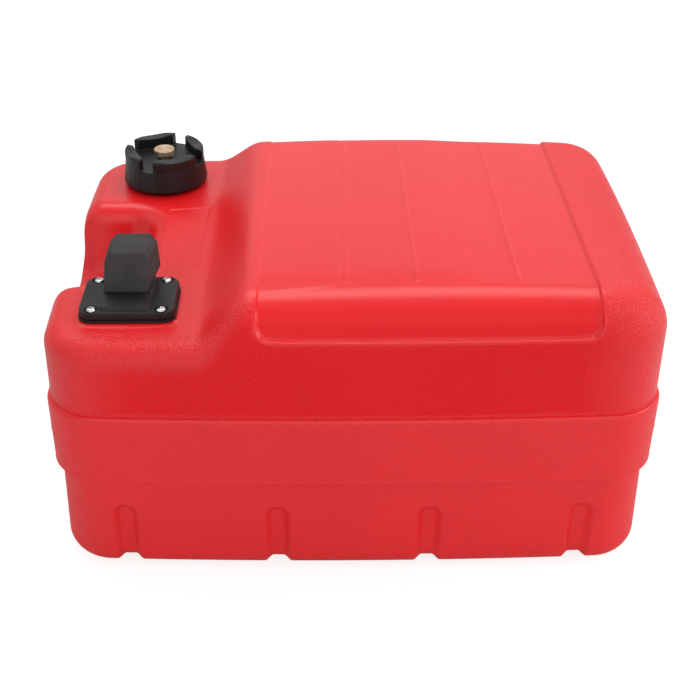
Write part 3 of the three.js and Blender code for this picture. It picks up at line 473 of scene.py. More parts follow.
def detail_offset(x, y, z):
    """How far the surface stands proud of the plain form."""
    proud = -panel_depth(x, y, z)
    for place_x, slant in zip(RIB_PLACES, RIB_SLANTS):
        sd = rounded_distance(x - place_x - slant * y, y - (RIB_FRONT + RIB_BACK) / 2, RIB_WIDTH / 2,
                              (RIB_BACK - RIB_FRONT) / 2, RIB_WIDTH / 2)
        proud += np.where(z > PANEL_LOWER, RIB_HEIGHT * step_mask(sd, RIB_STEP), 0)
    proud += plateau(x, y, z) + eject_marks(x, y) - saddle_frame(x, y, z)
    on_front = y < -TANK_DEPTH / 4
    label_x, label_z = (LABEL_LEFT + LABEL_RIGHT) / 2, (LABEL_LOWER + LABEL_UPPER) / 2
    sd = rounded_distance(x - label_x, z - label_z, (LABEL_RIGHT - LABEL_LEFT) / 2,
                          (LABEL_UPPER - LABEL_LOWER) / 2, LABEL_CORNER)
    fade = 1 - smooth(LABEL_LEFT + LABEL_FADE, LABEL_RIGHT, x)
    proud -= np.where(on_front, LABEL_DEPTH * fade * step_mask(sd, LABEL_STEP), 0)
    proud -= SLOT_DEPTH * slot_mask(x, y, z)
    seat = rounded_distance(x - PLATE_X, y - PLATE_Y, PLATE_WIDTH / 2 + SEAT_MARGIN,
                            PLATE_DEPTH / 2 + SEAT_MARGIN, PLATE_CORNER + SEAT_MARGIN)
    proud += np.where(z > ROW_LIMIT, SEAT_RISE * step_mask(seat, TRIM_STEP), 0)
    for height in (MOULD_LINE, BAND_BEAD):
        line = np.clip(1 - np.abs(z - height) / (MOULD_LINE_WIDTH / 2), 0, 1)
        proud += MOULD_LINE_PROUD * line * line * (3 - 2 * line)
    return proud


def stations(half, edge, base, zones):
    """Shares of a half from -1 to 1: the two rounded edges, and a march between them."""
    inner = marched(PLAN_CORNER - half, half - PLAN_CORNER, base, zones)
    return np.array([e - half for e in edge[:-1]] + inner + [half - e for e in edge[-2::-1]]) / half


def tank_points(fine):
    """Stations of the fine outer form, or of the plain inner one; a zone is (centre, reach, step)."""
    pocket_zone = POCKET_END - POCKET_CORNER / 2, 21
    front_zone, back_zone = (POCKET_FRONT - 5, 20), (POCKET_BACK, 14)
    if fine:
        zones_x = [(share * SLOT_PITCH + side * SLOT_WIDTH / 2, SLOT_EDGE, 0.9)
                   for share in SLOT_SHARES for side in (-1, 1)]
        zones_x += [(PANEL_LEFT, 2.9, 0.45), (PANEL_RIGHT, 2.6, 0.45)]
        zones_x += [(LABEL_LEFT, 0.8, 0.4), (LABEL_RIGHT, 0.8, 0.4)]
        zones_x += [(RIB_PLACES[0] - 2, 5.2, 0.42)] + [(rib, 2.2, 0.38) for rib in RIB_PLACES[1:]]
        zones_x += [(*pocket_zone, 1.5), (FLANK_FOOT + 19, 22, 2.6)]
        zones_x += [(PLATE_X + side * (PLATE_WIDTH / 2 + SEAT_MARGIN), 1.0, 0.5) for side in (-1, 1)]
        zones_x += [(SADDLE_FRAME[0][0] + 2, 3, 0.6), (SADDLE_FRAME[2][0] + 2, 3, 0.6)]
        zones_y = [(*front_zone, 1.3), (*back_zone, 1.3), (RIB_FRONT + 2, 4, 0.5)]
        zones_y += [(SADDLE_FRAME[0][1] + 2, 3, 0.6), (SADDLE_FRAME[1][1] - 4, 6, 0.7)]
        zones_y += [(PLATE_Y + side * (PLATE_DEPTH / 2 + SEAT_MARGIN), 1.0, 0.5) for side in (-1, 1)]
        zones_z = [(BAND_BOTTOM + 0.6, 2.2, 0.3), (BAND_TOP - BAND_LEDGE / 2, 3.0, 0.45),
                   (BAND_TOP - 0.35, 0.4, 0.09), (MOULD_LINE, 1.2, 0.3),
                   (SLOT_TOP - 3, 7, 1.1), (LABEL_LOWER, 0.8, 0.35), (LABEL_UPPER, 0.8, 0.35)]
        base, steps, roll_extra, top_rows = 5.0, 30, (6.0, 15.0, 20), 6
    else:
        zones_x = [(*pocket_zone, 3.5)] + [(share * SLOT_PITCH, SLOT_WIDTH, 2.5) for share in SLOT_SHARES]
        zones_y = [(*front_zone, 3), (*back_zone, 3)]
        zones_z = [(BAND_TOP, 4, 2)]
        base, steps, roll_extra, top_rows = 12.0, 8, (), 2
    us = stations(HALF_LENGTH, rolled(PLAN_CORNER, steps), base, zones_x)
    vs = stations(HALF_DEPTH, rolled(PLAN_CORNER, steps, *roll_extra), base, zones_y)
    rows = marched(BOTTOM_RADIUS, ROW_FIXED, base, zones_z)
    rows += [ROW_FIXED + share for share in np.linspace(0, 1, top_rows + 1)[1:]]
    return us, vs, np.array(rows)


def outer_form():
    points, quads = grid_form(*tank_points(True), 1.0)
    normals = vertex_normals(points, quads)
    offset = detail_offset(*points.T)[:, None] * normals - SKIN_GAP * normals * (1, 1, 0)
    return make_mesh("tank_body", points + offset, quads)


def inner_form():
    points, quads = grid_form(*tank_points(False), 0.0)
    normals = vertex_normals(points, quads)
    depth = WALL + SLOT_DEPTH * slot_mask(*points.T, grow=WALL)
    return make_mesh("tank_cavity", points - normals * depth[:, None], quads)


# Mesh helpers

def around(centre, turn, along, across, height):
    """A point given along and across a direction that starts at a centre."""
    cos, sin = math.cos(turn), math.sin(turn)
    return centre[0] + along * cos - across * sin, centre[1] + along * sin + across * cos, height


def turned(name, profile, centre, sides=64):
    """A closed turned piece; the profile is a list of (radius, height)."""
    points, faces, rings = [], [], []
    for radius, height in profile:
        if radius < TINY:
            rings.append([len(points)] * sides)
            points.append((centre[0], centre[1], height))
        else:
            rings.append(list(range(len(points), len(points) + sides)))
            points += [around(centre, 2 * math.pi * k / sides, radius, 0, height) for k in range(sides)]
    closed = profile[0][0] > TINY
    pairs = list(zip(rings, rings[1:])) + ([(rings[-1], rings[0])] if closed else [])
    for low, high in pairs:
        for k in range(sides):
            face = [low[k], low[(k + 1) % sides], high[(k + 1) % sides], high[k]]
            face = [corner for i, corner in enumerate(face) if corner not in face[:i]]
            if len(face) > 2:
                faces.append(face)
    return make_mesh(name, points, faces)


def outline(width, depth, front_corner, back_corner, steps=10):
    """A rectangle with rounded corners, anticlockwise from its right; the front is the low y side."""
    points = []
    for quarter, (sx, sy) in enumerate(((1, 1), (-1, 1), (-1, -1), (1, -1))):
        corner = back_corner if sy > 0 else front_corner
        for step in range(steps + 1):
            turn = (quarter + step / steps) * math.pi / 2
            points.append((sx * (width / 2 - corner) + corner * math.cos(turn),
                           sy * (depth / 2 - corner) + corner * math.sin(turn)))
    return points


def loft(name, rings):
    """Closed solid through rings of plan points; each ring is (points, height, x, y)."""
    count = len(rings[0][0])
    points = [(x + px, y + py, height) for ring, height, x, y in rings for px, py in ring]
    faces = []
    for start in range(0, (len(rings) - 1) * count, count):
        for k in range(count):
            low, ahead = start + k, start + (k + 1) % count
            faces.append([low, ahead, ahead + count, low + count])
    faces.append(list(range(count))[::-1])
    faces.append([(len(rings) - 1) * count + k for k in range(count)])
    return make_mesh(name, points, faces)


def block(name, low, high, centre, turn):
    """A box turned about the vertical line through its centre."""
    plan = (low[0], low[1]), (high[0], low[1]), (high[0], high[1]), (low[0], high[1])
    points = [around(centre, turn, x, y, z) for z in (low[2], high[2]) for x, y in plan]
    sides = [[k, (k + 1) % 4, (k + 1) % 4 + 4, k + 4] for k in range(4)]
    return make_mesh(name, points, [[3, 2, 1, 0], [4, 5, 6, 7], *sides])


def softened(obj, voxel, passes):
    """Remeshes a solid evenly and smooths it, which rounds its edges as moulding does."""
    remesh = obj.modifiers.new("remesh", "REMESH")
    remesh.mode = "VOXEL"
    remesh.voxel_size = voxel * MM
    smoothing = obj.modifiers.new("smooth", "SMOOTH")
    smoothing.iterations = passes
    apply_modifiers(obj)


def points_of(obj):
    """A mesh's points in millimetres."""
    coords = np.empty(len(obj.data.vertices) * 3)
    obj.data.vertices.foreach_get("co", coords)
    return coords.reshape(-1, 3) / MM


def carve(obj, depth_at):
    """Moves points towards the filler's axis; depth_at takes their radii, turns and heights."""
    points = points_of(obj)
    dx, dy = points[:, 0] - FILLER[0], points[:, 1] - FILLER[1]
    radius = np.hypot(dx, dy)
    depth = depth_at(radius, np.arctan2(dy, dx), points[:, 2])
    points[:, 0] -= depth * dx / np.maximum(radius, 1)
    points[:, 1] -= depth * dy / np.maximum(radius, 1)
    obj.data.vertices.foreach_set("co", (points * MM).ravel())
    obj.data.update()


def dress(obj, look, body, node, degrees=None):
    """Gives a piece smooth shading, its material and its body, and hides the CAD node that it stands for.
    """
    shade_smooth(obj, degrees)
    obj.data.materials.clear()
    obj.data.materials.append(look)
    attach(obj, body)
    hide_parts(node)


def quarter(radius, steps):
    """Places along a quarter round: how far in, and how far up, from where it starts upright."""
    turns = [k / steps * math.pi / 2 for k in range(steps + 1)]
    return [(radius * (1 - math.cos(turn)), radius * math.sin(turn)) for turn in turns]


def rod(name, radius, low, high, centre, sides=64):
    return turned(name, [(0, low), (radius, low), (radius, high), (0, high)], centre, sides)


def thread_ridge(name, root, tip, start):
    """One start of the thread, outside the neck or inside the cap."""
    section = [(root, THREAD_ROOT), (tip, THREAD_TIP), (tip, -THREAD_TIP), (root, -THREAD_ROOT)]
    if tip < root:
        section.reverse()
    steps = round(THREAD_SIDES * THREAD_TURNS)
    points, faces = [], []
    for i in range(steps + 1):
        turns = i / steps * THREAD_TURNS
        height = start + turns * THREAD_PITCH
        points += [around(FILLER, turns * 2 * math.pi, radius, 0, height + rise)
                   for radius, rise in section]
    for i in range(steps):
        for k in range(4):
            a, b = 4 * i + k, 4 * i + (k + 1) % 4
            faces.append([a, b, b + 4, a + 4])
    faces.append([3, 2, 1, 0])
    faces.append([4 * steps + k for k in range(4)])
    obj = make_mesh(name, points, faces)
    recalculate(obj)
    return obj


def recalculate(obj):
    """Turns every face outwards."""
    bm = bmesh.new()
    bm.from_mesh(obj.data)
    bmesh.ops.recalc_face_normals(bm, faces=bm.faces)
    bm.to_mesh(obj.data)
    bm.free()


def apply_modifiers(obj):
    graph = bpy.context.evaluated_depsgraph_get()
    mesh = bpy.data.meshes.new_from_object(obj.evaluated_get(graph))
    old = obj.data
    obj.modifiers.clear()
    obj.data = mesh
    bpy.data.meshes.remove(old)


def remove(obj):
    mesh = obj.data
    bpy.data.objects.remove(obj)
    bpy.data.meshes.remove(mesh)


def combine(obj, tools, operation):
    """Joins tools to obj or cuts them from it, and deletes them."""
    for tool in tools:
        modifier = obj.modifiers.new("boolean", "BOOLEAN")
        modifier.solver = "MANIFOLD"
        modifier.operation = operation
        modifier.object = tool
        apply_modifiers(obj)
        remove(tool)


def shade_smooth(obj, degrees=None):
    """Smooth shading; edges sharper than the angle stay crisp."""
    mesh = obj.data
    mesh.polygons.foreach_set("use_smooth", [True] * len(mesh.polygons))
    if degrees is not None:
        bm = bmesh.new()
        bm.from_mesh(mesh)
        limit = math.radians(degrees)
        for edge in bm.edges:
            edge.smooth = len(edge.link_faces) == 2 and edge.calc_face_angle(0) < limit
        bm.to_mesh(mesh)
        bm.free()
    mesh.update()


# Materials

NOISE_LOW, NOISE_HIGH = 0.3, 0.7
PLASTIC_IOR = 1.5
RED_DARK, RED_LIGHT = (226, 22, 28), (234, 26, 32)
RED_ROUGH, GRAIN_ROUGH, LOWER_ROUGH = (0.28, 0.34), 0.03, 0.12
RED_SHINE, MATTE_LOSS = 0.52, 0.34
WAVE_SCALE, WAVE_STRENGTH, WAVE_HEIGHT = 45, 0.14, 0.002
PEBBLE_SCALE, SPECK_SCALE, SPECK_SHARE, PEBBLE_HEIGHT = 760, 1300, 0.6, 0.0007
GRAIN_STRENGTH, LEAST_GRAIN, LOWER_CALM = 0.97, 0.03, 0.62


class Graph:
    """Node tree of a material or of the world."""

    def __init__(self, owner):
        owner.use_nodes = True
        self.nodes, self.links = owner.node_tree.nodes, owner.node_tree.links

    def give(self, socket, value):
        if isinstance(value, bpy.types.NodeSocket):
            self.links.new(value, socket)
        else:
            socket.default_value = value

    def fill(self, node, **values):
        """Gives inputs of a node numbers or outputs of other nodes; a low line stands for a space."""
        for name, value in values.items():
            self.give(node.inputs[name.replace("_", " ")], value)
        return node

    def node(self, kind, **values):
        return self.fill(self.nodes.new("ShaderNode" + kind), **values)

    def math(self, operation, a, b):
        node = self.node("Math")
        node.operation = operation
        self.give(node.inputs[0], a)
        self.give(node.inputs[1], b)
        return node.outputs[0]


class Look(Graph):
    """Node tree of a material of the object, with a Principled shader."""

    def __init__(self, name):
        self.material = bpy.data.materials.new(name)
        super().__init__(self.material)
        self.shader = self.nodes["Principled BSDF"]
        self.coords = self.node("TexCoord").outputs["Object"]

    def noise(self, scale, detail, roughness=0.5):
        return self.node("TexNoise", Vector=self.coords, Scale=scale, Detail=detail,
                         Roughness=roughness).outputs["Fac"]

    def cells(self, scale):
        node = self.node("TexVoronoi", Vector=self.coords, Scale=scale)
        node.feature = "SMOOTH_F1"
        return node.outputs["Distance"]

    def mottle(self, scale, detail, low=0.0, high=1.0):
        """Noise whose middle range is spread from low to high."""
        return self.node("MapRange", Value=self.noise(scale, detail), From_Min=NOISE_LOW,
                         From_Max=NOISE_HIGH, To_Min=low, To_Max=high).outputs["Result"]

    def attribute(self, name):
        node = self.node("Attribute")
        node.attribute_name = name
        return node.outputs["Fac"]

    def colours(self, share, dark, light):
        node = self.node("Mix")
        node.data_type = "RGBA"
        factor, first, second = node.inputs[0], node.inputs[6], node.inputs[7]
        self.give(factor, share)
        self.give(first, (*linear(*dark), 1))
        self.give(second, (*linear(*light), 1))
        return node.outputs[2]

    def bump(self, height, strength, distance, before=None):
        node = self.node("Bump", Height=height, Strength=strength, Distance=distance)
        if before:
            self.fill(node, Normal=before)
        return node.outputs["Normal"]


def linear(*colour):
    """Linear values of a colour given in 0 to 255."""
    return tuple((c / 255 / 12.92) if c <= 10 else ((c / 255 + 0.055) / 1.055) ** 2.4 for c in colour)


def red_plastic():
    """Blow-moulded polyethylene: satin where the mould was smooth, pebbled where it was grained."""
    g = Look("tank_red")
    grain, lower, matte = (g.attribute(name) for name in ("grain", "lower", "matte"))
    rough = g.math("ADD", g.mottle(160, 2, *RED_ROUGH), g.math("MULTIPLY", grain, GRAIN_ROUGH))
    coarse = g.math("MULTIPLY", grain, g.math("SUBTRACT", 1.0, g.math("MULTIPLY", lower, LOWER_CALM)))
    strength = g.math("ADD", g.math("MULTIPLY", coarse, GRAIN_STRENGTH), LEAST_GRAIN)
    pebbles = g.math("ADD", g.cells(PEBBLE_SCALE), g.math("MULTIPLY", g.noise(SPECK_SCALE, 2), SPECK_SHARE))
    waves = g.bump(g.noise(WAVE_SCALE, 2), WAVE_STRENGTH, WAVE_HEIGHT)
    g.fill(g.shader, IOR=PLASTIC_IOR, Base_Color=g.colours(g.mottle(9, 3), RED_DARK, RED_LIGHT),
           Roughness=g.math("ADD", rough, g.math("MULTIPLY", lower, LOWER_ROUGH)),
           Specular_IOR_Level=g.math("SUBTRACT", RED_SHINE, g.math("MULTIPLY", matte, MATTE_LOSS)),
           Normal=g.bump(pebbles, strength, PEBBLE_HEIGHT, waves))
    return g.material


def black_plastic(name, dark, light, rough, grain_scale=1400, strength=0.15, shine=0.4):
    """Moulded plastic or rubber of one colour with a fine even grain."""
    g = Look(name)
    g.fill(g.shader, IOR=PLASTIC_IOR, Specular_IOR_Level=shine,
           Base_Color=g.colours(g.mottle(70, 3), dark, light),
           Roughness=g.mottle(220, 2, rough - 0.04, rough + 0.05),
           Normal=g.bump(g.noise(grain_scale, 3, 0.6), strength, 0.0003))
    return g.material


def metal(name, dark, light, rough):
    g = Look(name)
    g.fill(g.shader, Metallic=1.0, Base_Color=g.colours(g.mottle(180, 3), dark, light),
           Roughness=g.mottle(400, 2, rough * 0.85, rough * 1.25),
           Normal=g.bump(g.noise(900, 3), 0.1, 0.0002))
    return g.material


# Floor, light and camera

FLOOR_HALF_SIDE, FLOOR_DROP = 6000, 0.0002
FLOOR_GREY, FLOOR_GLOW, GLOW_SHARE = 0.7, 1.6, 0.5
SKY_STRENGTH = 0.53
# Softboxes: place, target and size in metres, and power in watts
LAMPS = {
    "top_softbox": ((0.0, 0.44, 1.42), (0.0, 0.0, 0.2), (1.7, 0.6), 9.2),
    "back_softbox": ((0.25, 1.5, 0.85), (0.0, 0.0, 0.2), (2.0, 0.75), 1.9),
    "right_softbox": ((1.32, -0.22, 0.75), (0.1, 0.0, 0.15), (0.5, 0.5), 5.9),
    "left_softbox": ((-1.3, 0.1, 0.9), (-0.1, 0.0, 0.15), (0.9, 0.7), 0.8),
    "front_softbox": ((0.1, -1.5, 0.75), (0.0, -0.05, 0.12), (3.0, 1.6), 10.4),
}


def floor_material():
    """Pale grey for the light that falls on it, and partly a white glow for the eye."""
    material = bpy.data.materials.new("floor")
    g = Graph(material)
    g.nodes.clear()
    seen = g.node("LightPath").outputs["Is Camera Ray"]
    mixed = g.node("MixShader", Fac=g.math("MULTIPLY", seen, GLOW_SHARE))
    grey = g.node("BsdfDiffuse", Color=(FLOOR_GREY, FLOOR_GREY, FLOOR_GREY, 1))
    g.give(mixed.inputs[1], grey.outputs[0])
    g.give(mixed.inputs[2], g.node("Emission", Strength=FLOOR_GLOW).outputs[0])
    g.node("OutputMaterial", Surface=mixed.outputs[0])
    return material


def make_floor():
    corners = [(sx * FLOOR_HALF_SIDE, sy * FLOOR_HALF_SIDE, 0) for sx, sy in CORNERS]
    floor = make_mesh("floor", corners, [[0, 1, 2, 3]])
    floor.location.z = -FLOOR_DROP
    floor.data.materials.append(floor_material())


def make_world():
    """White for the eye and softer as a light."""
    world = bpy.data.worlds.new("studio")
    bpy.context.scene.world = world
    g = Graph(world)
    seen = g.node("LightPath").outputs["Is Camera Ray"]
    strength = g.node("MapRange", Value=seen, To_Min=SKY_STRENGTH, To_Max=1.0).outputs["Result"]
    g.fill(g.nodes["Background"], Color=(1, 1, 1, 1), Strength=strength)


def area_lamp(name, spot, target, size, power):
    data = bpy.data.lights.new(name, "AREA")
    data.shape = "RECTANGLE"
    data.size, data.size_y = size
    data.energy = power
    lamp = bpy.data.objects.new(name, data)
    bpy.context.scene.collection.objects.link(lamp)
    lamp.location = spot
    lamp.rotation_euler = (Vector(target) - Vector(spot)).to_track_quat("-Z", "Y").to_euler()


def make_camera():
    data = bpy.data.cameras.new("camera")
    data.sensor_width = SENSOR_WIDTH
    data.lens = FOCAL_PIXELS * SENSOR_WIDTH / IMAGE_SIDE
    data.shift_x = (IMAGE_SIDE / 2 - AXIS_PIXEL_X) / IMAGE_SIDE
    data.clip_start, data.clip_end = 0.01, 50
    camera = bpy.data.objects.new("camera", data)
    bpy.context.scene.collection.objects.link(camera)
    camera.location = Vector(CAMERA_PLACE) * MM
    camera.rotation_euler = (math.radians(90 - CAMERA_DOWN), 0, math.radians(CAMERA_YAW))
    bpy.context.scene.camera = camera


# Tank

GRAIN_BORDER_SPAN = (0.8, 2.4)
DECK_TOP_SPAN = (DECK_HEIGHT - 12, DECK_HEIGHT - 3)
DECK_INLAND_SPAN, DECK_BACK_SPAN = (16 - TANK_DEPTH / 2, 34 - TANK_DEPTH / 2), (-60.0, -20.0)
FLAT_TOP_SPAN = (TOP_HEIGHT - 9, TOP_HEIGHT - 2)
END_SPAN, MOUTH_SPAN, SIDE_SPAN = (150.0, 200.0), (-210.0, -200.0), (100.0, 120.0)
DECK_PLAIN, TOP_PLAIN, LEDGE_PLAIN = 0.85, 0.75, 0.7
POCKET_MARGIN, FLANK_MARGIN = 6.0, 14.0
LEDGE_START_SPAN, LEDGE_END_SPAN = (BAND_TOP - 3, BAND_TOP - 2), (BAND_TOP, BAND_TOP + 1)
MATTE_FOOT_SPAN = (BAND_TOP + 1, BAND_TOP + 4)
MATTE_LIMITS, MATTE_FADE = (DECK_HEIGHT - 25, DECK_HEIGHT + 13), 16.0
BORDER_START_SPAN, BORDER_END_SPAN = (-1.6, -0.8), (1.5, 3.5)


def screw_places():
    return [(PLATE_X + sx * SCREW_SPAN_X / 2, PLATE_Y + sy * SCREW_SPAN_Y / 2) for sx, sy in CORNERS]


def grain_mask(x, y, z):
    """Where the mould was grained: least on the flat tops, none on the panel and in the grip pocket."""
    left = 1 - smooth(FLANK_FOOT, FLANK_TOP + FLANK_MARGIN, x)
    inland = np.maximum(smooth(*DECK_INLAND_SPAN, y), smooth(*DECK_BACK_SPAN, y))
    deck = DECK_PLAIN * left * smooth(*DECK_TOP_SPAN, z) * inland
    top = TOP_PLAIN * smooth(*FLAT_TOP_SPAN, z) * (1 - smooth(*END_SPAN, np.abs(x)))
    ledge = LEDGE_PLAIN * smooth(*LEDGE_START_SPAN, z) * (1 - smooth(*LEDGE_END_SPAN, z))
    roll = pocket_roll(y)
    pocket = 1 - smooth(roll, roll + POCKET_MARGIN, pocket_distance(x, y))
    plain = np.maximum.reduce([deck, top, ledge, pocket * smooth(*MOUTH_SPAN, x)])
    return smooth(*GRAIN_BORDER_SPAN, panel_distance(x, y, z)) * (1 - plain)


def matte_mask(x, y, z):
    """Upper part of the long walls and the foot of the roll above them, which shine least."""
    limit = mix(*MATTE_LIMITS, smooth(FLANK_FOOT, FLANK_TOP, x))
    upright = smooth(*MATTE_FOOT_SPAN, z) * (1 - smooth(limit, limit + MATTE_FADE, z))
    border = panel_distance(x, y, z)
    edge = smooth(*BORDER_START_SPAN, border) * (1 - smooth(*BORDER_END_SPAN, border))
    return upright * (1 - smooth(*END_SPAN, np.abs(x))) * smooth(*SIDE_SPAN, np.abs(y)) * (1 - edge)


def tank_body():
    body = outer_form()
    neck = rod("neck", NECK_RADIUS, DOME_HEIGHT - NECK_SINK, NECK_TOP, FILLER, 96)
    ridge = thread_ridge("thread", NECK_RADIUS - JOIN, NECK_RADIUS + THREAD_DEPTH, NECK_THREAD_START)
    combine(body, [neck, ridge], "UNION")
    combine(body, [inner_form()], "DIFFERENCE")
    insert_foot = DECK_HEIGHT + SEAT_RISE - INSERT_LENGTH - INSERT_GAP
    combine(body, [rod("boss", BOSS_RADIUS, insert_foot - BOSS_FLOOR, DECK_HEIGHT - JOIN, spot, 32)
                   for spot in screw_places()], "UNION")
    holes = [rod("bore", NECK_BORE, DOME_HEIGHT - HOLE_DEPTH, OVER, FILLER, 96),
             rod("hole", DECK_HOLE_RADIUS, DECK_HEIGHT - HOLE_DEPTH, OVER, JOINT)]
    holes += [rod("hole", INSERT_RADIUS + INSERT_GAP, insert_foot, OVER, spot, 32)
              for spot in screw_places()]
    combine(body, holes, "DIFFERENCE")
    dress(body, red, "tank", "tank_shell", degrees=40)
    x, y, z = points_of(body).T
    ledge = BAND_TOP - BAND_LEDGE
    masks = {"grain": grain_mask(x, y, z), "lower": 1 - smooth(ledge - 1, ledge + 1, z),
             "matte": matte_mask(x, y, z)}
    for name, values in masks.items():
        layer = body.data.attributes.new(name, "FLOAT", "POINT")
        layer.data.foreach_set("value", values.astype(np.float32))


# Filler cap

CAP_TOP_RADIUS, CAP_FOOT_RADIUS = 32.1, 34.4
CAP_FOOT, CAP_ROOF, CAP_RIM = 209.5, 228.0, 237.5
CAP_ROOF_THICKNESS, CAP_BORE = 4.0, 26.3
CAP_LIP, CAP_LIP_HEIGHT = 2.0, 2.4
CAP_FOOT_EASE, CAP_TOP_EASE = 0.2, 0.1
THREAD_GAP = 0.3
ROUND_SIDES = 160
EAR_COUNT, EAR_REACH, EAR_GAP, EAR_SCALLOP = 4, 22.4, 11.5, 1.3
EAR_TURN = math.radians(68)
EAR_INNER = EAR_REACH - 4
EAR_GAP_START, EAR_SCALLOP_START = 14.9, 10.0
SCALLOP_SIDES = 96
EAR_ROUND = 1.9
SCALLOP_SHARE = 0.5
FLUTE_COUNT, FLUTE_DEPTH = 40, 0.17
FLUTE_FOOT_SPAN, FLUTE_TOP_SPAN = (CAP_FOOT + 1.5, CAP_FOOT + 4), (CAP_ROOF - 3, CAP_ROOF + 1)
FLUTE_RADIUS_SPAN = (CAP_TOP_RADIUS - 2.5, CAP_TOP_RADIUS - 0.5)
VENT_HOLE = 4.9
CAP_VOXEL, CAP_PASSES = 0.42, 3


def fluted(radius, turn, z):
    wave = 0.5 - 0.5 * np.cos(FLUTE_COUNT * turn)
    tall = smooth(*FLUTE_FOOT_SPAN, z) * (1 - smooth(*FLUTE_TOP_SPAN, z))
    return FLUTE_DEPTH * wave * wave * tall * smooth(*FLUTE_RADIUS_SPAN, radius)


def filler_cap():
    ceiling = CAP_ROOF - CAP_ROOF_THICKNESS
    skirt = turned("filler_cap_piece", [
        (0, ceiling), (CAP_BORE, ceiling), (CAP_BORE, CAP_FOOT), (CAP_FOOT_RADIUS - CAP_LIP, CAP_FOOT),
        (CAP_FOOT_RADIUS - CAP_FOOT_EASE, CAP_FOOT + CAP_LIP_HEIGHT),
        (CAP_TOP_RADIUS + CAP_TOP_EASE, CAP_ROOF), (0, CAP_ROOF)], FILLER, ROUND_SIDES)
    ring = [(EAR_INNER, CAP_ROOF - JOIN), (CAP_TOP_RADIUS, CAP_ROOF - JOIN)]
    ring += [(CAP_TOP_RADIUS - inward, CAP_RIM - EAR_ROUND + up) for inward, up in quarter(EAR_ROUND, 6)]
    ears = turned("ears", [*ring, (EAR_INNER, CAP_RIM)], FILLER, ROUND_SIDES)
    half_pitch = math.pi / EAR_COUNT
    cuts = [block("recess", (-EAR_REACH, -EAR_REACH, CAP_ROOF), (EAR_REACH, EAR_REACH, OVER),
                  FILLER, EAR_TURN + half_pitch)]
    for k in range(EAR_COUNT):
        turn = EAR_TURN + 2 * math.pi * k / EAR_COUNT
        cuts.append(block("gap", (EAR_GAP_START, -EAR_GAP / 2, CAP_ROOF), (OVER, EAR_GAP / 2, OVER),
                          FILLER, turn))
        cuts.append(scallop(turn + half_pitch))
    combine(ears, cuts, "DIFFERENCE")
    ridge = thread_ridge("cap_thread", CAP_BORE + JOIN, CAP_BORE - THREAD_DEPTH - THREAD_GAP,
                         NECK_THREAD_START - THREAD_PITCH / 2)
    combine(skirt, [ears, ridge], "UNION")
    combine(skirt, [rod("vent_hole", VENT_HOLE, CAP_FOOT, CAP_RIM, FILLER)], "DIFFERENCE")
    softened(skirt, CAP_VOXEL, CAP_PASSES)
    carve(skirt, fluted)
    dress(skirt, cap_black, "cap", "filler_cap")


def scallop(turn):
    """A lying cylinder that cuts the dip in the top of one ear."""
    half = CAP_TOP_RADIUS * math.sin(math.pi / EAR_COUNT) * SCALLOP_SHARE
    bend = (half * half + EAR_SCALLOP * EAR_SCALLOP) / (2 * EAR_SCALLOP)
    points = []
    for reach in (EAR_SCALLOP_START, CAP_FOOT_RADIUS + 4):
        for k in range(SCALLOP_SIDES):
            angle = 2 * math.pi * k / SCALLOP_SIDES
            height = CAP_RIM - EAR_SCALLOP + bend + bend * math.sin(angle)
            points.append(around(FILLER, turn, reach, bend * math.cos(angle), height))
    ends = list(range(SCALLOP_SIDES)), [SCALLOP_SIDES + k for k in range(SCALLOP_SIDES)]
    faces = [[k, ahead, SCALLOP_SIDES + ahead, SCALLOP_SIDES + k]
             for k, ahead in zip(ends[0], ends[0][1:] + [0])]
    obj = make_mesh("scallop", points, [*faces, ends[0][::-1], ends[1]])
    recalculate(obj)
    return obj


VENT_RADIUS, VENT_SHANK = 8.4, 2.4
VENT_FOOT, VENT_TOP, VENT_END = 231.8, 236.4, 221.0
VENT_EDGE, VENT_TOP_EDGE, VENT_TIP = 0.5, 0.45, 0.4
KNURL_COUNT, KNURL_DEPTH, KNURL_WIDTH = 52, 0.14, 0.3


def knurled(radius, turn, z):
    wave = 0.5 - 0.5 * np.cos(KNURL_COUNT * turn)
    return KNURL_DEPTH * wave * (radius > VENT_RADIUS - KNURL_WIDTH)


def vent_screw():
    screw = turned("vent_screw_piece", [
        (0, VENT_END), (VENT_SHANK - VENT_TIP, VENT_END), (VENT_SHANK, VENT_END + VENT_EDGE),
        (VENT_SHANK, VENT_FOOT), (VENT_RADIUS - VENT_EDGE, VENT_FOOT), (VENT_RADIUS, VENT_FOOT + VENT_EDGE),
        (VENT_RADIUS, VENT_TOP - VENT_EDGE), (VENT_RADIUS - VENT_TOP_EDGE, VENT_TOP), (0, VENT_TOP)],
        FILLER, 6 * KNURL_COUNT)
    carve(screw, knurled)
    dress(screw, vent_brass, "vent", "vent_screw", degrees=30)


# Fuel fitting

PLATE_FOOT, PLATE_TOP, PAD_TOP = 200.3, 205.9, 208.3
PLATE_ROUND, PLATE_CHAMFER = 1.5, 0.5
PAD_WIDTH, PAD_FRONT, PAD_BACK = 35.0, -111.75, -64.35
PAD_TAPER, PAD_CORNER, PAD_EDGE, PAD_SINK = 0.7, 1.5, 0.5, 0.5
PAD_FILLET, PAD_FILLET_TOP = 0.6, 0.15
STEM_BOSS_RADIUS, STEM_BOSS_FOOT = 9.0, 185.3
STEM_RADIUS, STEM_FOOT = 5.5, 201.2
TUBE_BORE, TUBE_SOCKET, TUBE_TOP = 2.8, 4.3, 193.6
SCREW_SINK, RECESS_RADIUS, SHANK_HOLE = 1.4, 4.9, 2.2
RECESS_FILLET, RECESS_EDGE, RECESS_OVER = 0.3, 0.5, 0.15


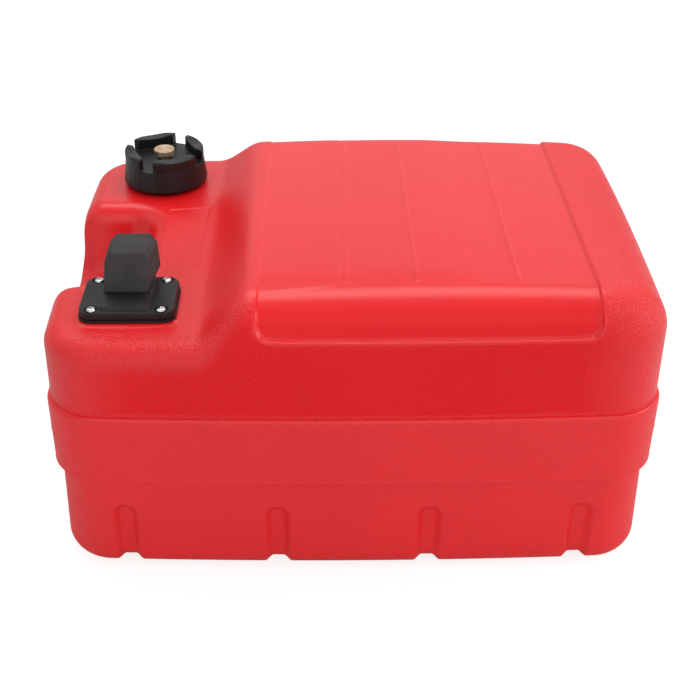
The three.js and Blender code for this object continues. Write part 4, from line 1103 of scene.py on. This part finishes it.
def plate_ring(inward, height):
    corner = PLATE_CORNER - inward
    ring = outline(PLATE_WIDTH - 2 * inward, PLATE_DEPTH - 2 * inward, corner, corner)
    return ring, height, PLATE_X, PLATE_Y


def pad_ring(inward, corner, height):
    ring = outline(PAD_WIDTH - 2 * inward, PAD_BACK - PAD_FRONT - 2 * inward, corner, corner)
    return ring, height, JOINT[0], (PAD_FRONT + PAD_BACK) / 2


def flange_plate():
    rings = [plate_ring(PLATE_CHAMFER, PLATE_FOOT), plate_ring(0, PLATE_FOOT + PLATE_CHAMFER)]
    rings += [plate_ring(inward, PLATE_TOP - PLATE_ROUND + up) for inward, up in quarter(PLATE_ROUND, 6)]
    plate = loft("flange_plate_piece", rings)
    rings = [pad_ring(-PAD_FILLET, PAD_CORNER + PAD_FILLET, PLATE_TOP - PAD_SINK),
             pad_ring(0, PAD_CORNER, PLATE_TOP + PAD_FILLET_TOP)]
    rings += [pad_ring(PAD_TAPER + inward, PAD_CORNER, PAD_TOP - PAD_EDGE + up)
              for inward, up in quarter(PAD_EDGE, 4)]
    boss = rod("boss", STEM_BOSS_RADIUS, STEM_BOSS_FOOT, PLATE_FOOT + JOIN, JOINT)
    combine(plate, [loft("pad", rings), boss], "UNION")
    cuts = [rod("socket", STEM_RADIUS, STEM_FOOT, OVER, JOINT), rod("bore", TUBE_BORE, 0, OVER, JOINT),
            rod("tube", TUBE_SOCKET, 0, TUBE_TOP, JOINT)]
    low, high = PLATE_TOP - SCREW_SINK, PLATE_TOP + RECESS_OVER
    recess = [(0, low), (RECESS_RADIUS - RECESS_FILLET, low), (RECESS_RADIUS, low + RECESS_FILLET),
              (RECESS_RADIUS, high - RECESS_EDGE), (RECESS_RADIUS + RECESS_EDGE, high), (0, high)]
    for spot in screw_places():
        cuts += [turned("recess", recess, spot, 48), rod("shank_hole", SHANK_HOLE, 0, OVER, spot, 32)]
    combine(plate, cuts, "DIFFERENCE")
    dress(plate, plate_black, "tank", "flange_plate", degrees=35)


SCREW_HEAD_RADIUS, SCREW_HEAD_FOOT, SCREW_HEAD_TOP = 3.5, 204.8, 207.0
SCREW_HEAD_EDGE, SCREW_HEAD_FLARE, DOME_POWER = 0.5, 0.15, 0.55
SCREW_SHANK, SCREW_END, SCREW_TIP, SCREW_TIP_HEIGHT = 1.9, 191.8, 0.5, 0.8
CROSS_LENGTH, CROSS_WIDTH, CROSS_DEPTH = 3.9, 0.95, 1.2
CONE_DEPTH, CONE_RADIUS, CONE_TOP_RADIUS = 0.7, 0.9, 1.15
FIRST_TURN, NEXT_TURN = 20, 37


def flange_screw(number, spot):
    edge = SCREW_HEAD_FOOT + SCREW_HEAD_EDGE
    dome = [(SCREW_HEAD_RADIUS * math.cos(turn) ** DOME_POWER,
             edge + (SCREW_HEAD_TOP - edge) * math.sin(turn))
            for turn in np.linspace(0, math.pi / 2, 10)[:-1]]
    screw = turned(f"flange_screw_{number}_piece", [
        (0, SCREW_END), (SCREW_SHANK - SCREW_TIP, SCREW_END), (SCREW_SHANK, SCREW_END + SCREW_TIP_HEIGHT),
        (SCREW_SHANK, SCREW_HEAD_FOOT), (SCREW_HEAD_RADIUS - SCREW_HEAD_FLARE, SCREW_HEAD_FOOT),
        *dome, (0, SCREW_HEAD_TOP)], spot)
    turn = math.radians(FIRST_TURN + NEXT_TURN * number)
    low, high = SCREW_HEAD_TOP - CROSS_DEPTH, SCREW_HEAD_TOP + 1
    arm, half = CROSS_LENGTH / 2, CROSS_WIDTH / 2
    cuts = [block("cross", (-across, -along, low), (across, along, high), spot, turn)
            for across, along in ((arm, half), (half, arm))]
    cuts.append(turned("cone", [(0, low - CONE_DEPTH), (CONE_RADIUS, low + 0.1), (CONE_TOP_RADIUS, high),
                                (0, high)], spot, 24))
    combine(screw, cuts, "DIFFERENCE")
    dress(screw, chrome, "tank", f"flange_screw_{number}", degrees=30)


COVER_Y = -73.9
COVER_FOOT, COVER_TOP = 208.5, 238.18
COVER_WALL, COVER_SIDE_WALL = 2.2, 1.9
COVER_LEFT, COVER_RIGHT, COVER_DEPTH = -176.5, -144.9, 31.8
COVER_PUSH_FOOT, COVER_PUSH_TOP = 1.1, -1.4
COVER_SHOULDER, COVER_SHOULDER_INSET = 5.2, 3.3
COVER_FRONT_CORNER, COVER_BACK_CORNER, COVER_EDGE = 1.4, 3.6, 0.55
COVER_LEAST_CORNER, COVER_LIP, COVER_SOFT = 0.5, 0.2, 0.3
COVER_LEAN, COVER_RIGHT_LEAN = 3.3, 0.9
COVER_PLAIN_WIDTH = 22.8
COVER_WALL_RINGS, COVER_SHOULDER_RINGS = 14, 16
COVER_SWELL_HEIGHTS, COVER_SWELL = (208.5, 214.0, 234.0, 238.2), (3.4, 6.1, 2.6, 2.2)


def cover_ring(side, shrink, height, lip=0.0, wall=0.0):
    """An outline of the cover, which leans to the right and swells at the back of its right side."""
    depth = COVER_DEPTH - 2 * (shrink + lip)
    corners = [max(corner - shrink, COVER_LEAST_CORNER)
               for corner in (COVER_FRONT_CORNER, COVER_BACK_CORNER)]
    plain = outline(COVER_PLAIN_WIDTH, depth, *corners, 12)
    wide = max(px for px, _ in plain)
    up = (height - COVER_FOOT) / (COVER_TOP - COVER_FOOT)
    lean = COVER_LEAN * up
    inward = side + shrink + lip + wall
    left, right = COVER_LEFT + lean + inward, COVER_RIGHT + COVER_RIGHT_LEAN * lean - inward
    swell = float(np.interp(height, COVER_SWELL_HEIGHTS, COVER_SWELL))
    points = []
    for px, py in plain:
        back = py / depth + 0.5
        push = mix(COVER_PUSH_FOOT, COVER_PUSH_TOP, up) * (1 - back)
        points.append((mix(left, right + swell * back, (px / wide + 1) / 2), py - push))
    return points, height, 0.0, COVER_Y


def dust_cover():
    """Side walls that stand upright to a soft shoulder and then lean in to a crisp top."""
    rings = [cover_ring(0, 0, COVER_FOOT, COVER_LIP), cover_ring(0, 0, COVER_FOOT + 0.3)]
    start, end = COVER_TOP - COVER_SHOULDER, COVER_TOP - COVER_EDGE
    rings += [cover_ring(0, 0, height)
              for height in np.linspace(COVER_FOOT + 2, start - 2, COVER_WALL_RINGS)]
    for height in np.linspace(start - 1.5, end, COVER_SHOULDER_RINGS):
        lean = (height - start) / (COVER_SHOULDER - COVER_EDGE) * COVER_SHOULDER_INSET
        side = COVER_SOFT * math.log1p(math.exp(lean / COVER_SOFT))
        rings.append(cover_ring(side, 0, height))
    for inward, up in quarter(COVER_EDGE, 7)[1:]:
        rings.append(cover_ring(side, inward, end + up))
    cover = loft("dust_cover_piece", rings)
    thin = COVER_SIDE_WALL - COVER_WALL
    inner = [cover_ring(0, COVER_WALL, COVER_FOOT - 1, 0, thin), cover_ring(0, COVER_WALL, start, 0, thin),
             cover_ring(COVER_SHOULDER_INSET, COVER_WALL, COVER_TOP - COVER_WALL)]
    combine(cover, [loft("inner", inner)], "DIFFERENCE")
    dress(cover, cover_rubber, "cover", "dust_cover", degrees=50)


red = red_plastic()
cap_black = black_plastic("cap_black", (15, 13, 14), (25, 22, 23), 0.4, shine=0.36)
plate_black = black_plastic("plate_black", (34, 32, 33), (44, 42, 43), 0.4, shine=0.24)
cover_rubber = black_plastic("cover_rubber", (66, 64, 65), (75, 73, 74), 0.72, 1100, 0.25, shine=0.05)
seal_rubber = black_plastic("seal_rubber", (22, 21, 21), (32, 31, 31), 0.6)
brass = metal("brass", (178, 142, 92), (214, 182, 132), 0.32)
vent_brass = metal("vent_brass", (190, 156, 122), (226, 204, 180), 0.46)
chrome = metal("chrome", (200, 202, 204), (236, 237, 238), 0.14)
steel = metal("spring_steel", (140, 142, 144), (176, 178, 180), 0.3)
tubing = black_plastic("fuel_tubing", (44, 44, 46), (56, 56, 58), 0.35)
nylon = black_plastic("strainer_nylon", (205, 200, 188), (222, 218, 206), 0.45)

bpy.context.scene.view_settings.view_transform = "Standard"
make_camera()
make_floor()
make_world()
for name, settings in LAMPS.items():
    area_lamp(name, *settings)

# CAD nodes that stay visible; the others are replaced by the pieces below
NODE_LOOKS = {
    "cap_seal": seal_rubber, "vent_seal": seal_rubber, "flange_gasket": seal_rubber,
    "poppet_seal": seal_rubber, "vent_bush": brass, "guide_pin_1": brass, "guide_pin_2": brass,
    "valve_poppet": brass, "fuel_joint_body": plate_black, "valve_spring": steel,
    "pickup_tube": tubing, "pickup_strainer": nylon,
    **{f"flange_insert_{number}": brass for number in range(1, 5)},
}
for node, look in NODE_LOOKS.items():
    for material_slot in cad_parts[node].material_slots:
        material_slot.material = look

tank_body()
filler_cap()
vent_screw()
flange_plate()
for number, spot in enumerate(screw_places(), 1):
    flange_screw(number, spot)
dust_cover()
